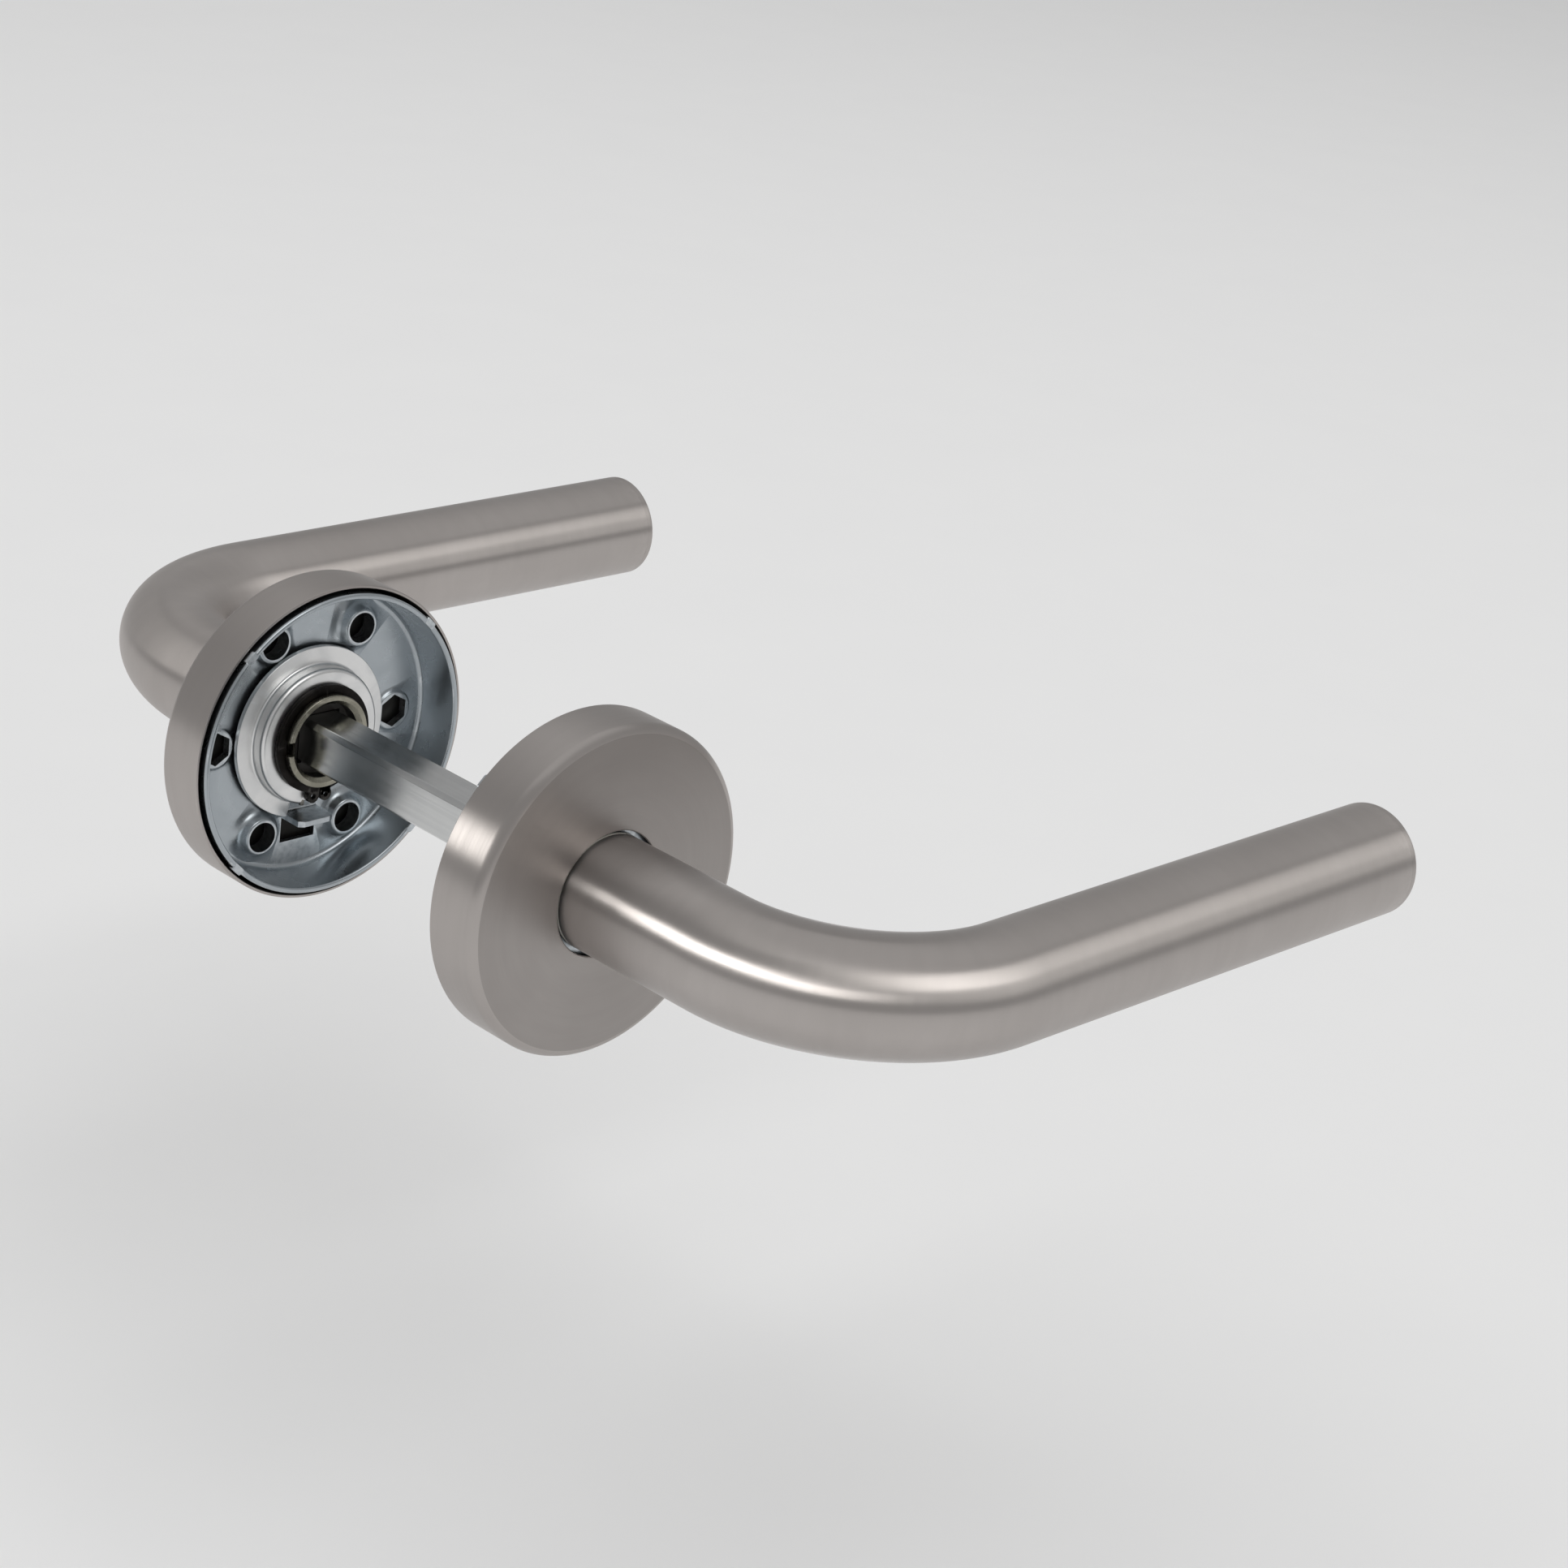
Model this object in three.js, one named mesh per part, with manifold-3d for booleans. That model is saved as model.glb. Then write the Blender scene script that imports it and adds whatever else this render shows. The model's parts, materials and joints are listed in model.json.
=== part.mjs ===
// A pair of door lever handles on round roses, joined through the door by one square spindle.
// Millimetres. The spindle lies along Y, the grips point along +X and +Z is up.
// One side is built along +Y with its door face at y = 0, so "depth" is the distance from the
// door's surface. The back handle is moved out by half the door, the front one is its mirror.
import * as THREE from "three";
import { mergeVertices } from "three/addons/utils/BufferGeometryUtils.js";
import Module from "manifold-3d";

const wasm = await Module();
wasm.setup();

// ---- Driving dimensions ----
const DOOR_THICKNESS = 55.5;

const TUBE_DIAMETER = 19;
const TUBE_WALL = 1.2;
const BEND_RADIUS = 30;
const GRIP_PROJECTION = 64; // door surface to the grip's centre line
const LEVER_LENGTH = 122; // spindle axis to the tip

const ROSE_DIAMETER = 54;
const ROSE_HEIGHT = 10.5; // door surface to the rose's front face
const COVER_WALL = 0.6;
const COVER_EDGE_RADIUS = 1.6;
const SKIRT_LIFT = 1; // the skirt stops short of the door

const PLATE_WALL = 0.9;
const PLATE_RIM_WIDTH = 1;
const PLATE_TAPER = 0.5;
const PLATE_HEADROOM = 0.9; // between the plate's floor and the inside of the cover's face
const PLATE_CORNER = 1.2;
const BOLT_CIRCLE = 38; // at least; a thick tube needs it wider
const BOLT_HOLE_DIAMETER = 5.2;
const BOLT_SPREAD_DEG = 62.5; // each bolt hole above or below the level through the spindle
const BOSS_HEIGHT = 2;
const BOSS_LIP = 0.5;
const BOSS_FLARE = 1.9;
const HEX_INSET = 0.8; // from the bolt circle
const HEX_HOLE_FLATS = 5;
const HEX_LIP = 0.4;
const LUG_COUNT = 4;
const LUG_START_DEG = 45;
const LUG_WIDTH = 2.4;
const LUG_HEIGHT = 1.6;
const LUG_RISE = 0.3;
const TAB_WIDTH = 7;
const TAB_THICKNESS = 1;
const TAB_OVERLAP = 3.5; // how far the tab stands up past the driver's flange
const TAB_INSET = 0.7; // driver plate's edge to the tab's inner face
const TAB_CHAMFER = 1;
const WINDOW_LENGTH = 4.5;

const SPINDLE_SIZE = 8;
const SPINDLE_CHAMFER = 0.8;
const SPINDLE_ENGAGEMENT = 24; // how far each end reaches past the door surface

const NECK_STAND = 2.3; // how far the neck stands out of the driver plate
const SOCKET_LENGTH = 27;
const MOUTH_WALL = 1.6;
const MOUTH_DEPTH = 2.9;
const MOUTH_BEVEL = 0.5;
const KEYWAY_WIDTH = 2.4;

const DRIVER_WALL = 0.9;
const DRIVER_RISE = 2.5; // flange to hub
const DRIVER_LIFT = 0.7; // plate's floor to the flange
const DRIVER_BOSS_GAP = 0.2; // between the flange's edge and the bosses
const DRIVER_DOG_REACH = 1; // how far each dog reaches inside the neck's surface
const LEVER_TRAVEL_DEG = 45;

const BUSH_WALL = 0.95;
const BUSH_FLANGE = 0.5;
const WASHER_WALL = 0.55;
const CIRCLIP_WALL = 0.9;
const CIRCLIP_WIDTH = 1.7;
const CIRCLIP_OPENING = 0.3;
const CIRCLIP_EYE_RADIUS = 1.15;
const CIRCLIP_EYE_HOLE_RADIUS = 0.5;
const CIRCLIP_SPACE = 1; // at least, from its eyes to the tab
const GROOVE_DEPTH = 0.5;

const SPRING_WIRE = 0.9;
const SPRING_TURNS = 1; // whole turns on top of the arc between the two legs
const SPRING_PLAY = 0.45; // between the coil and what it turns between

const GRUB_DIAMETER = 5;
const GRUB_KEY = 2.5;
const GRUB_KEY_DEPTH = 2.5;
const GRUB_SETBACK = 7; // rose face to the screw's axis
const GRUB_SUNK = 0.3;

const CAP_THICKNESS = 1.5;
const CAP_EDGE_RADIUS = 0.8;
const CAP_SPIGOT_LENGTH = 5;
const CAP_SPIGOT_WALL = 1.2;

// ---- Clearances ----
const RUNNING = 0.15; // radial, between pieces that turn on each other
const FACE_GAP = 0.1; // between flat faces that meet
const SEAT_GAP = 0.3; // between pieces that are fixed together
const TUBE_TO_COVER = 0.7;
const SPINDLE_PLAY = 0.1;

// ---- How finely round shapes are cut ----
const ROUND = 40;
const SMALL_ROUND = 20;
const FILLET_STEPS = 3;
const TUBE_ROUND = 12;
const BEND_STEPS = 12;
const WIRE_ROUND = 4;
const WIRE_STEPS_PER_TURN = 18;
const WELD = 1e-4;
const CUT = 1; // how far a cutting body runs past the face it cuts

// ---- Sizes that follow ----
const DEG = Math.PI / 180;
const FULL_TURN = 2 * Math.PI;
const DOWN = -90 * DEG;
const tubeRadius = TUBE_DIAMETER / 2;
const boreRadius = tubeRadius - TUBE_WALL;
const roseRadius = ROSE_DIAMETER / 2;
const coverHoleRadius = tubeRadius + TUBE_TO_COVER;
const coverInnerFace = ROSE_HEIGHT - COVER_WALL;
const skirtRadius = roseRadius - COVER_WALL;
const plateRadius = skirtRadius - SEAT_GAP - LUG_RISE + FACE_GAP;
const plateBack = coverInnerFace - PLATE_HEADROOM;
const plateFloor = plateBack - PLATE_WALL;
const boltHoleRadius = BOLT_HOLE_DIAMETER / 2;
const bossLipRadius = boltHoleRadius + BOSS_LIP;
const bossSlope = BOSS_FLARE / (BOSS_HEIGHT + PLATE_WALL);
const bossRadiusAtDriver = bossLipRadius + bossSlope * (BOSS_HEIGHT - DRIVER_LIFT);
const hexLipRadius = HEX_HOLE_FLATS / 2 / Math.cos(30 * DEG) + HEX_LIP;
const neckRadius = boreRadius - SEAT_GAP;
const bushBore = neckRadius + RUNNING;
const bushRadius = bushBore + BUSH_WALL;
const plateBore = bushRadius + RUNNING;
const bushFlangeStart = plateBack + FACE_GAP;
const tubeStart = bushFlangeStart + BUSH_FLANGE + FACE_GAP;
const springRadius = bushRadius + SPRING_PLAY + SPRING_WIRE / 2;
const driverBore = neckRadius + SEAT_GAP;
const driverFlangeBack = plateFloor - DRIVER_LIFT;
const driverFlange = driverFlangeBack - DRIVER_WALL;
const driverHub = driverFlange - DRIVER_RISE;
const driverHubBack = driverHub + DRIVER_WALL;
const driverStepBore = springRadius + SPRING_WIRE / 2 + SPRING_PLAY;
const driverStepRadius = driverStepBore + DRIVER_WALL;
const circlipStart = driverHub - FACE_GAP - CIRCLIP_WALL;
const grooveRadius = neckRadius - GROOVE_DEPTH;
const circlipInner = grooveRadius + FACE_GAP;
const circlipOuter = circlipInner + CIRCLIP_WIDTH;
const circlipEyeCentre = circlipOuter + CIRCLIP_EYE_RADIUS - CIRCLIP_EYE_HOLE_RADIUS;
const tabRadiusNeeded = circlipEyeCentre + CIRCLIP_EYE_RADIUS + CIRCLIP_SPACE;
const tabToBolt = TAB_INSET + DRIVER_BOSS_GAP + bossRadiusAtDriver;
const boltRadius = Math.max(BOLT_CIRCLE / 2, tabRadiusNeeded + tabToBolt);
const hexRadius = boltRadius - HEX_INSET;
const driverRadius = boltRadius - bossRadiusAtDriver - DRIVER_BOSS_GAP;
const tabRadius = driverRadius - TAB_INSET;
const washerStart = driverHubBack + FACE_GAP;
const bushStart = washerStart + WASHER_WALL + FACE_GAP;
const neckStart = driverHub - NECK_STAND;
const keywayEnd = driverHubBack + SEAT_GAP;
const grubDepth = ROSE_HEIGHT + GRUB_SETBACK;
const spindleHalf = SPINDLE_SIZE / 2;
const tabHalfAngle = Math.atan2(TAB_WIDTH / 2 + SEAT_GAP, tabRadius);
const notchStart = DOWN - tabHalfAngle;
const notchEnd = DOWN + tabHalfAngle + LEVER_TRAVEL_DEG * DEG;

// ---- Finishes ----
const FINISHES = {
  satin: { color: 0x9b948d, roughness: 0.38, metalness: 1 },
  zinc: { color: 0xa9b2b6, roughness: 0.3, metalness: 1 },
  brightZinc: { color: 0xc3c6c6, roughness: 0.25, metalness: 1 },
  nickel: { color: 0x8d8873, roughness: 0.25, metalness: 1 },
  black: { color: 0x23211f, roughness: 0.5, metalness: 1 },
  spring: { color: 0x6f6c66, roughness: 0.35, metalness: 1 },
  nylon: { color: 0xd9d6cc, roughness: 0.6, metalness: 0 },
};

// ---- Geometry helpers ----

/** A closed geometry as a solid that can be cut and joined. */
function solid(geometry) {
  const bare = geometry.index ? geometry.toNonIndexed() : geometry.clone();
  bare.deleteAttribute("normal");
  bare.deleteAttribute("uv");
  const welded = mergeVertices(bare, WELD);
  return new wasm.Manifold(
    new wasm.Mesh({
      numProp: 3,
      vertProperties: welded.attributes.position.array,
      triVerts: new Uint32Array(welded.index.array),
    }),
  );
}

/** A solid as a geometry again. */
function geometryOf(body) {
  const { numProp, vertProperties, triVerts } = body.getMesh();
  const points = new THREE.InterleavedBuffer(vertProperties, numProp);
  const geometry = new THREE.BufferGeometry();
  geometry.setAttribute("position", new THREE.InterleavedBufferAttribute(points, 3, 0));
  geometry.setIndex(new THREE.BufferAttribute(triVerts, 1));
  const flat = geometry.toNonIndexed();
  flat.computeVertexNormals();
  return flat;
}

/** A ring turned round Y from a closed outline of [radius, depth] points, anticlockwise. */
function turned(outline, segments = ROUND) {
  const closed = [...outline, outline[0]];
  const points = closed.map(([r, y]) => new THREE.Vector2(r, y));
  return new THREE.LatheGeometry(points, segments);
}

/** A body turned round Y whose outline starts and ends on the axis. */
function turnedSolid(outline, segments = ROUND) {
  return new THREE.LatheGeometry(outline.map(([r, y]) => new THREE.Vector2(r, y)), segments);
}

/** A plain ring between two radii and two depths. */
function ring(inner, outer, start, end, segments = ROUND) {
  return turned([[inner, start], [outer, start], [outer, end], [inner, end]], segments);
}

/** A shape drawn in X and Z, standing from one depth to another. */
function upright(shape, start, end, curveSegments = SMALL_ROUND) {
  const geometry = new THREE.ExtrudeGeometry(shape, {
    depth: end - start,
    bevelEnabled: false,
    curveSegments,
  });
  return geometry.rotateX(Math.PI / 2).translate(0, end, 0);
}

/** Points of a round corner about a centre, from one angle to another, as [radius, depth]. */
function corner(r, y, radius, from, to) {
  return Array.from({ length: FILLET_STEPS + 1 }, (_, i) => {
    const a = (from + ((to - from) * i) / FILLET_STEPS) * DEG;
    return [r + radius * Math.cos(a), y + radius * Math.sin(a)];
  });
}

/** A polygon in X and Z from [x, z] points. */
function polygon(points) {
  return new THREE.Shape(points.map(([x, z]) => new THREE.Vector2(x, z)));
}

/** A regular hexagon by its width across flats. */
function hexagon(flats, x = 0, z = 0) {
  const r = flats / 2 / Math.cos(30 * DEG);
  return polygon([0, 1, 2, 3, 4, 5].map((i) => {
    const a = (30 + 60 * i) * DEG;
    return [x + r * Math.cos(a), z + r * Math.sin(a)];
  }));
}

/** A square whose corners are cut, by its half width. */
function chamferedSquare(half, chamfer) {
  const c = half - chamfer;
  return polygon([
    [half, -c], [half, c], [c, half], [-c, half],
    [-half, c], [-half, -c], [-c, -half], [c, -half],
  ]);
}

/** A sector of a disc between two angles, used to open a ring. */
function sector(radius, from, to, start, end) {
  const shape = new THREE.Shape();
  shape.moveTo(0, 0);
  shape.lineTo(radius * Math.cos(from), radius * Math.sin(from));
  shape.absarc(0, 0, radius, from, to, false);
  shape.closePath();
  return upright(shape, start, end);
}

/** A box between two corners. */
function block(low, high) {
  const size = high.map((v, i) => v - low[i]);
  const middle = high.map((v, i) => (v + low[i]) / 2);
  return new THREE.BoxGeometry(...size).translate(...middle);
}

/** A curve that is sampled evenly in its own parameter, so straight runs need no steps. */
class SteppedCurve extends THREE.Curve {
  getUtoTmapping(u) {
    return u;
  }
}

/** The lever's centre line: a straight neck, a quarter bend and a straight grip. */
class LeverLine extends SteppedCurve {
  constructor(start, end) {
    super();
    this.start = start;
    this.end = end;
    this.steps = BEND_STEPS + 2;
  }

  getPoint(t, target = new THREE.Vector3()) {
    const step = t * this.steps;
    const bendStart = GRIP_PROJECTION - BEND_RADIUS;
    if (step < 1) {
      return target.set(0, this.start + (bendStart - this.start) * step, 0);
    }
    if (step > BEND_STEPS + 1) {
      const run = step - BEND_STEPS - 1;
      return target.set(BEND_RADIUS + (this.end - BEND_RADIUS) * run, GRIP_PROJECTION, 0);
    }
    const a = ((step - 1) / BEND_STEPS) * (Math.PI / 2);
    return target.set(
      BEND_RADIUS * (1 - Math.cos(a)),
      bendStart + BEND_RADIUS * Math.sin(a),
      0,
    );
  }
}

/** The return spring's wire: a leg in, the coil, and a leg out. */
class SpringLine extends SteppedCurve {
  constructor(leg, fixedDepth, movingDepth, fixedAngle, movingAngle) {
    super();
    Object.assign(this, { leg, fixedDepth, movingDepth, fixedAngle, movingAngle });
    this.coilSteps = Math.ceil(
      (Math.abs(movingAngle - fixedAngle) / FULL_TURN) * WIRE_STEPS_PER_TURN,
    );
    this.steps = this.coilSteps + 2;
  }

  getPoint(t, target = new THREE.Vector3()) {
    const step = t * this.steps;
    const turn = THREE.MathUtils.clamp((step - 1) / this.coilSteps, 0, 1);
    const leg = Math.max(1 - step, step - this.coilSteps - 1, 0);
    const angle = this.fixedAngle + (this.movingAngle - this.fixedAngle) * turn;
    const depth = this.fixedDepth + (this.movingDepth - this.fixedDepth) * turn;
    const r = springRadius + leg * this.leg;
    return target.set(r * Math.cos(angle), depth, r * Math.sin(angle));
  }
}

/** A round section carried along a stepped curve. */
function swept(line, outer, inner, curveSegments) {
  const section = new THREE.Shape().absarc(0, 0, outer, 0, FULL_TURN);
  if (inner) {
    section.holes.push(new THREE.Path().absarc(0, 0, inner, 0, FULL_TURN));
  }
  return new THREE.ExtrudeGeometry(section, {
    extrudePath: line,
    steps: line.steps,
    curveSegments,
  });
}

// ---- Pieces of one side ----

/** The hole that the grub screw stands in. */
function grubHole() {
  const radius = GRUB_DIAMETER / 2 + RUNNING;
  return solid(
    new THREE.CylinderGeometry(radius, radius, tubeRadius, SMALL_ROUND)
      .rotateX(Math.PI / 2)
      .translate(0, grubDepth, -tubeRadius / 2 - CUT),
  );
}

/** Bent tube: neck, quarter bend and grip, open at both ends. */
function leverTube() {
  const line = new LeverLine(tubeStart, LEVER_LENGTH - CAP_THICKNESS - FACE_GAP);
  return geometryOf(solid(swept(line, tubeRadius, boreRadius, TUBE_ROUND)).subtract(grubHole()));
}

/** Plug that closes the grip's end. */
function endCap() {
  const spigot = boreRadius - SEAT_GAP;
  const hollow = spigot - CAP_SPIGOT_WALL;
  const face = tubeRadius - CAP_EDGE_RADIUS;
  const outline = [
    [0, 0],
    [hollow, 0],
    [hollow, -CAP_SPIGOT_LENGTH],
    [spigot, -CAP_SPIGOT_LENGTH],
    [spigot, 0],
    [tubeRadius, 0],
    ...corner(face, CAP_THICKNESS - CAP_EDGE_RADIUS, CAP_EDGE_RADIUS, 0, 90),
    [0, CAP_THICKNESS],
  ];
  return turnedSolid(outline)
    .rotateZ(-Math.PI / 2)
    .translate(LEVER_LENGTH - CAP_THICKNESS, GRIP_PROJECTION, 0);
}

/** Insert fixed in the neck: it turns in the bush and takes the spindle in a square hole. */
function spindleSocket() {
  const end = neckStart + SOCKET_LENGTH;
  const mouth = neckRadius - MOUTH_WALL;
  const mouthEnd = neckStart + MOUTH_DEPTH;
  const blank = solid(turnedSolid([
    [0, mouthEnd],
    [mouth, mouthEnd],
    [mouth, neckStart + MOUTH_BEVEL],
    [mouth + MOUTH_BEVEL, neckStart],
    [neckRadius, neckStart],
    [neckRadius, circlipStart - FACE_GAP],
    [grooveRadius, circlipStart - FACE_GAP],
    [grooveRadius, circlipStart + CIRCLIP_WALL + FACE_GAP],
    [neckRadius, circlipStart + CIRCLIP_WALL + FACE_GAP],
    [neckRadius, end],
    [0, end],
  ]));
  const half = spindleHalf + SPINDLE_PLAY;
  const square = block([-half, neckStart, -half], [half, end + CUT, half]);
  const keyInner = neckRadius - DRIVER_DOG_REACH - SEAT_GAP;
  const keyHalf = KEYWAY_WIDTH / 2;
  let body = blank.subtract(solid(square)).subtract(grubHole());
  for (const side of [-1, 1]) {
    const near = side > 0 ? keyInner : -neckRadius - CUT;
    const far = side > 0 ? neckRadius + CUT : -keyInner;
    const slot = block([near, neckStart - CUT, -keyHalf], [far, keywayEnd, keyHalf]);
    body = body.subtract(solid(slot));
  }
  return geometryOf(body);
}

/** Headless screw that clamps the socket to the spindle from below. */
function grubScrew() {
  const top = -spindleHalf - SPINDLE_PLAY - FACE_GAP;
  const bottom = -tubeRadius + GRUB_SUNK;
  const radius = GRUB_DIAMETER / 2;
  const screw = new THREE.CylinderGeometry(radius, radius, top - bottom, SMALL_ROUND);
  const key = upright(hexagon(GRUB_KEY), -CUT, GRUB_KEY_DEPTH)
    .translate(0, (bottom - top) / 2, 0);
  return geometryOf(solid(screw).subtract(solid(key)))
    .rotateX(Math.PI / 2)
    .translate(0, grubDepth, (top + bottom) / 2);
}

/** Pressed cup that hides the fixing plate. */
function roseCover() {
  const edge = COVER_EDGE_RADIUS;
  const inner = edge - COVER_WALL;
  const y = ROSE_HEIGHT - edge;
  return turned([
    [skirtRadius, SKIRT_LIFT],
    [roseRadius, SKIRT_LIFT],
    ...corner(roseRadius - edge, y, edge, 0, 90),
    [coverHoleRadius, ROSE_HEIGHT],
    [coverHoleRadius, coverInnerFace],
    ...corner(roseRadius - edge, y, inner, 90, 0),
  ]);
}

/** Flared mound pressed up from the plate's floor to a lip round a hole. */
function boss(lip, top) {
  const foot = lip + bossSlope * (plateBack - top);
  return solid(turnedSolid([[0, top], [lip, top], [foot, plateBack], [0, plateBack]], SMALL_ROUND));
}

/** Pressed steel dish that the screws hold to the door, with the stop tab bent up from it. */
function fixingPlate() {
  const wallFoot = plateRadius - PLATE_TAPER;
  const innerRim = plateRadius - PLATE_RIM_WIDTH;
  const innerFoot = wallFoot - PLATE_WALL;
  const cornerDepth = plateBack - PLATE_CORNER;
  const innerCorner = PLATE_CORNER - PLATE_WALL;
  let body = solid(turned([
    [innerRim, 0],
    [plateRadius, 0],
    ...corner(wallFoot - PLATE_CORNER, cornerDepth, PLATE_CORNER, 0, 90),
    [plateBore, plateBack],
    [plateBore, plateFloor],
    [innerFoot - innerCorner, plateFloor],
    [innerFoot, plateFloor - innerCorner],
  ]));

  for (const side of [-1, 1]) {
    for (const level of [-1, 1]) {
      const x = side * boltRadius * Math.cos(BOLT_SPREAD_DEG * DEG);
      const z = level * boltRadius * Math.sin(BOLT_SPREAD_DEG * DEG);
      const bore = new THREE.CylinderGeometry(
        boltHoleRadius, boltHoleRadius, plateBack, SMALL_ROUND,
      );
      body = body.add(boss(bossLipRadius, plateFloor - BOSS_HEIGHT).translate(x, 0, z));
      body = body.subtract(solid(bore.translate(x, plateBack, z)));
    }
    const x = side * hexRadius;
    const hex = upright(hexagon(HEX_HOLE_FLATS, x), 0, plateBack + CUT);
    body = body.add(boss(hexLipRadius, driverFlangeBack + FACE_GAP).translate(x, 0, 0));
    body = body.subtract(solid(hex));
  }

  const half = TAB_WIDTH / 2;
  const tabTop = driverFlange - TAB_OVERLAP;
  const tabFoot = plateFloor + PLATE_WALL / 2;
  const tabOuter = tabRadius + TAB_THICKNESS;
  const outline = new THREE.Shape([
    new THREE.Vector2(-half, tabFoot),
    new THREE.Vector2(-half, tabTop + TAB_CHAMFER),
    new THREE.Vector2(-half + TAB_CHAMFER, tabTop),
    new THREE.Vector2(half - TAB_CHAMFER, tabTop),
    new THREE.Vector2(half, tabTop + TAB_CHAMFER),
    new THREE.Vector2(half, tabFoot),
  ]);
  const tab = new THREE.ExtrudeGeometry(outline, { depth: TAB_THICKNESS, bevelEnabled: false });
  body = body.add(solid(tab.translate(0, 0, -tabOuter)));
  const window = block(
    [-half, plateFloor - CUT, -tabOuter - WINDOW_LENGTH],
    [half, plateBack + CUT, -tabOuter],
  );
  body = body.subtract(solid(window));

  for (let i = 0; i < LUG_COUNT; i += 1) {
    const lug = block(
      [innerRim, 0, -LUG_WIDTH / 2],
      [plateRadius + LUG_RISE, LUG_HEIGHT, LUG_WIDTH / 2],
    ).rotateY(LUG_START_DEG * DEG + (i / LUG_COUNT) * FULL_TURN);
    body = body.add(solid(lug));
  }
  return geometryOf(body);
}

/** Nylon bush in the plate that the neck turns in; its flange spaces the tube off the plate. */
function bearingBush() {
  return turned([
    [bushBore, bushStart],
    [bushRadius, bushStart],
    [bushRadius, bushFlangeStart],
    [tubeRadius, bushFlangeStart],
    [tubeRadius, bushFlangeStart + BUSH_FLANGE],
    [bushBore, bushFlangeStart + BUSH_FLANGE],
  ]);
}

/** Torsion spring round the bush, from the stop tab to the driver plate. */
function returnSpring() {
  const wire = SPRING_WIRE / 2;
  const leg = tabRadius - SEAT_GAP - springRadius;
  const fixedDepth = plateFloor - RUNNING - wire;
  const movingDepth = driverHubBack + RUNNING + wire;
  const legSpace = Math.atan2(wire + SEAT_GAP, springRadius);
  const movingAngle = notchEnd - legSpace - FULL_TURN * (SPRING_TURNS + 1);
  const line = new SpringLine(leg, fixedDepth, movingDepth, DOWN, movingAngle);
  return swept(line, wire, 0, WIRE_ROUND);
}

/** Stepped ring keyed to the neck; its open sector meets the stop tab at each end of travel. */
function driverPlate() {
  let body = solid(turned([
    [driverBore, driverHub],
    [driverStepRadius, driverHub],
    [driverStepRadius, driverFlange],
    [driverRadius, driverFlange],
    [driverRadius, driverFlangeBack],
    [driverStepBore, driverFlangeBack],
    [driverStepBore, driverHubBack],
    [driverBore, driverHubBack],
  ]));
  const dogHalf = KEYWAY_WIDTH / 2 - SEAT_GAP;
  const dogTip = neckRadius - DRIVER_DOG_REACH;
  const dogRoot = driverBore + DRIVER_WALL;
  for (const [near, far] of [[dogTip, dogRoot], [-dogRoot, -dogTip]]) {
    const dog = block([near, driverHub, -dogHalf], [far, driverHubBack, dogHalf]);
    body = body.add(solid(dog));
  }
  const notch = sector(
    2 * driverRadius, notchStart, notchEnd, driverHub - CUT, driverFlangeBack + CUT,
  );
  return geometryOf(body.subtract(solid(notch)));
}

/** Thrust washer between the driver plate and the bush. */
function thrustWasher() {
  return ring(bushBore, bushRadius, washerStart, washerStart + WASHER_WALL);
}

/** Retaining ring in the neck's groove, with an eye at each side of its opening. */
function circlip() {
  const middle = circlipStart + CIRCLIP_WALL / 2;
  const x = CIRCLIP_OPENING / 2 + CIRCLIP_EYE_RADIUS;
  const z = -circlipEyeCentre;
  const pin = (radius, height) => (
    new THREE.CylinderGeometry(radius, radius, height, SMALL_ROUND).translate(0, middle, z)
  );
  let body = solid(ring(circlipInner, circlipOuter, circlipStart, circlipStart + CIRCLIP_WALL));
  for (const side of [-1, 1]) {
    body = body.add(solid(pin(CIRCLIP_EYE_RADIUS, CIRCLIP_WALL).translate(side * x, 0, 0)));
    const hole = pin(CIRCLIP_EYE_HOLE_RADIUS, CIRCLIP_WALL + CUT).translate(side * x, 0, 0);
    body = body.subtract(solid(hole));
  }
  const half = CIRCLIP_OPENING / 2;
  const opening = block([-half, circlipStart - CUT, 2 * z], [half, driverHub, 0]);
  return geometryOf(body.subtract(solid(opening)));
}

const SIDE_PIECES = [
  ["lever_tube", leverTube(), "satin"],
  ["end_cap", endCap(), "satin"],
  ["spindle_socket", spindleSocket(), "nickel"],
  ["grub_screw", grubScrew(), "black"],
  ["rose_cover", roseCover(), "satin"],
  ["fixing_plate", fixingPlate(), "zinc"],
  ["bearing_bush", bearingBush(), "nylon"],
  ["return_spring", returnSpring(), "spring"],
  ["driver_plate", driverPlate(), "brightZinc"],
  ["thrust_washer", thrustWasher(), "zinc"],
  ["circlip", circlip(), "black"],
];

function piece(name, geometry, finish) {
  const mesh = new THREE.Mesh(geometry, new THREE.MeshStandardMaterial(FINISHES[finish]));
  mesh.name = name;
  return mesh;
}

// ---- Assembly ----

/** Square bar through the door, shared by both handles. */
function spindle() {
  const reach = DOOR_THICKNESS / 2 + SPINDLE_ENGAGEMENT;
  return upright(chamferedSquare(spindleHalf, SPINDLE_CHAMFER), -reach, reach);
}

const handle = new THREE.Group();
handle.add(piece("spindle", spindle(), "brightZinc"));
for (const [side, direction] of [["front", -1], ["back", 1]]) {
  const half = new THREE.Group();
  half.scale.y = direction;
  half.position.y = (direction * DOOR_THICKNESS) / 2;
  for (const [name, geometry, finish] of SIDE_PIECES) {
    half.add(piece(side + "_" + name, geometry, finish));
  }
  handle.add(half);
}

export default handle;
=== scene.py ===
"""A pair of satin lever handles on round roses, joined by one square spindle.

The spindle lies along Y, the grips point along +X and +Z is up. One side is made in millimetres,
with depth measured from its door face, then placed twice: as it is at the back, and mirrored at
the front.
"""

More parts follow.
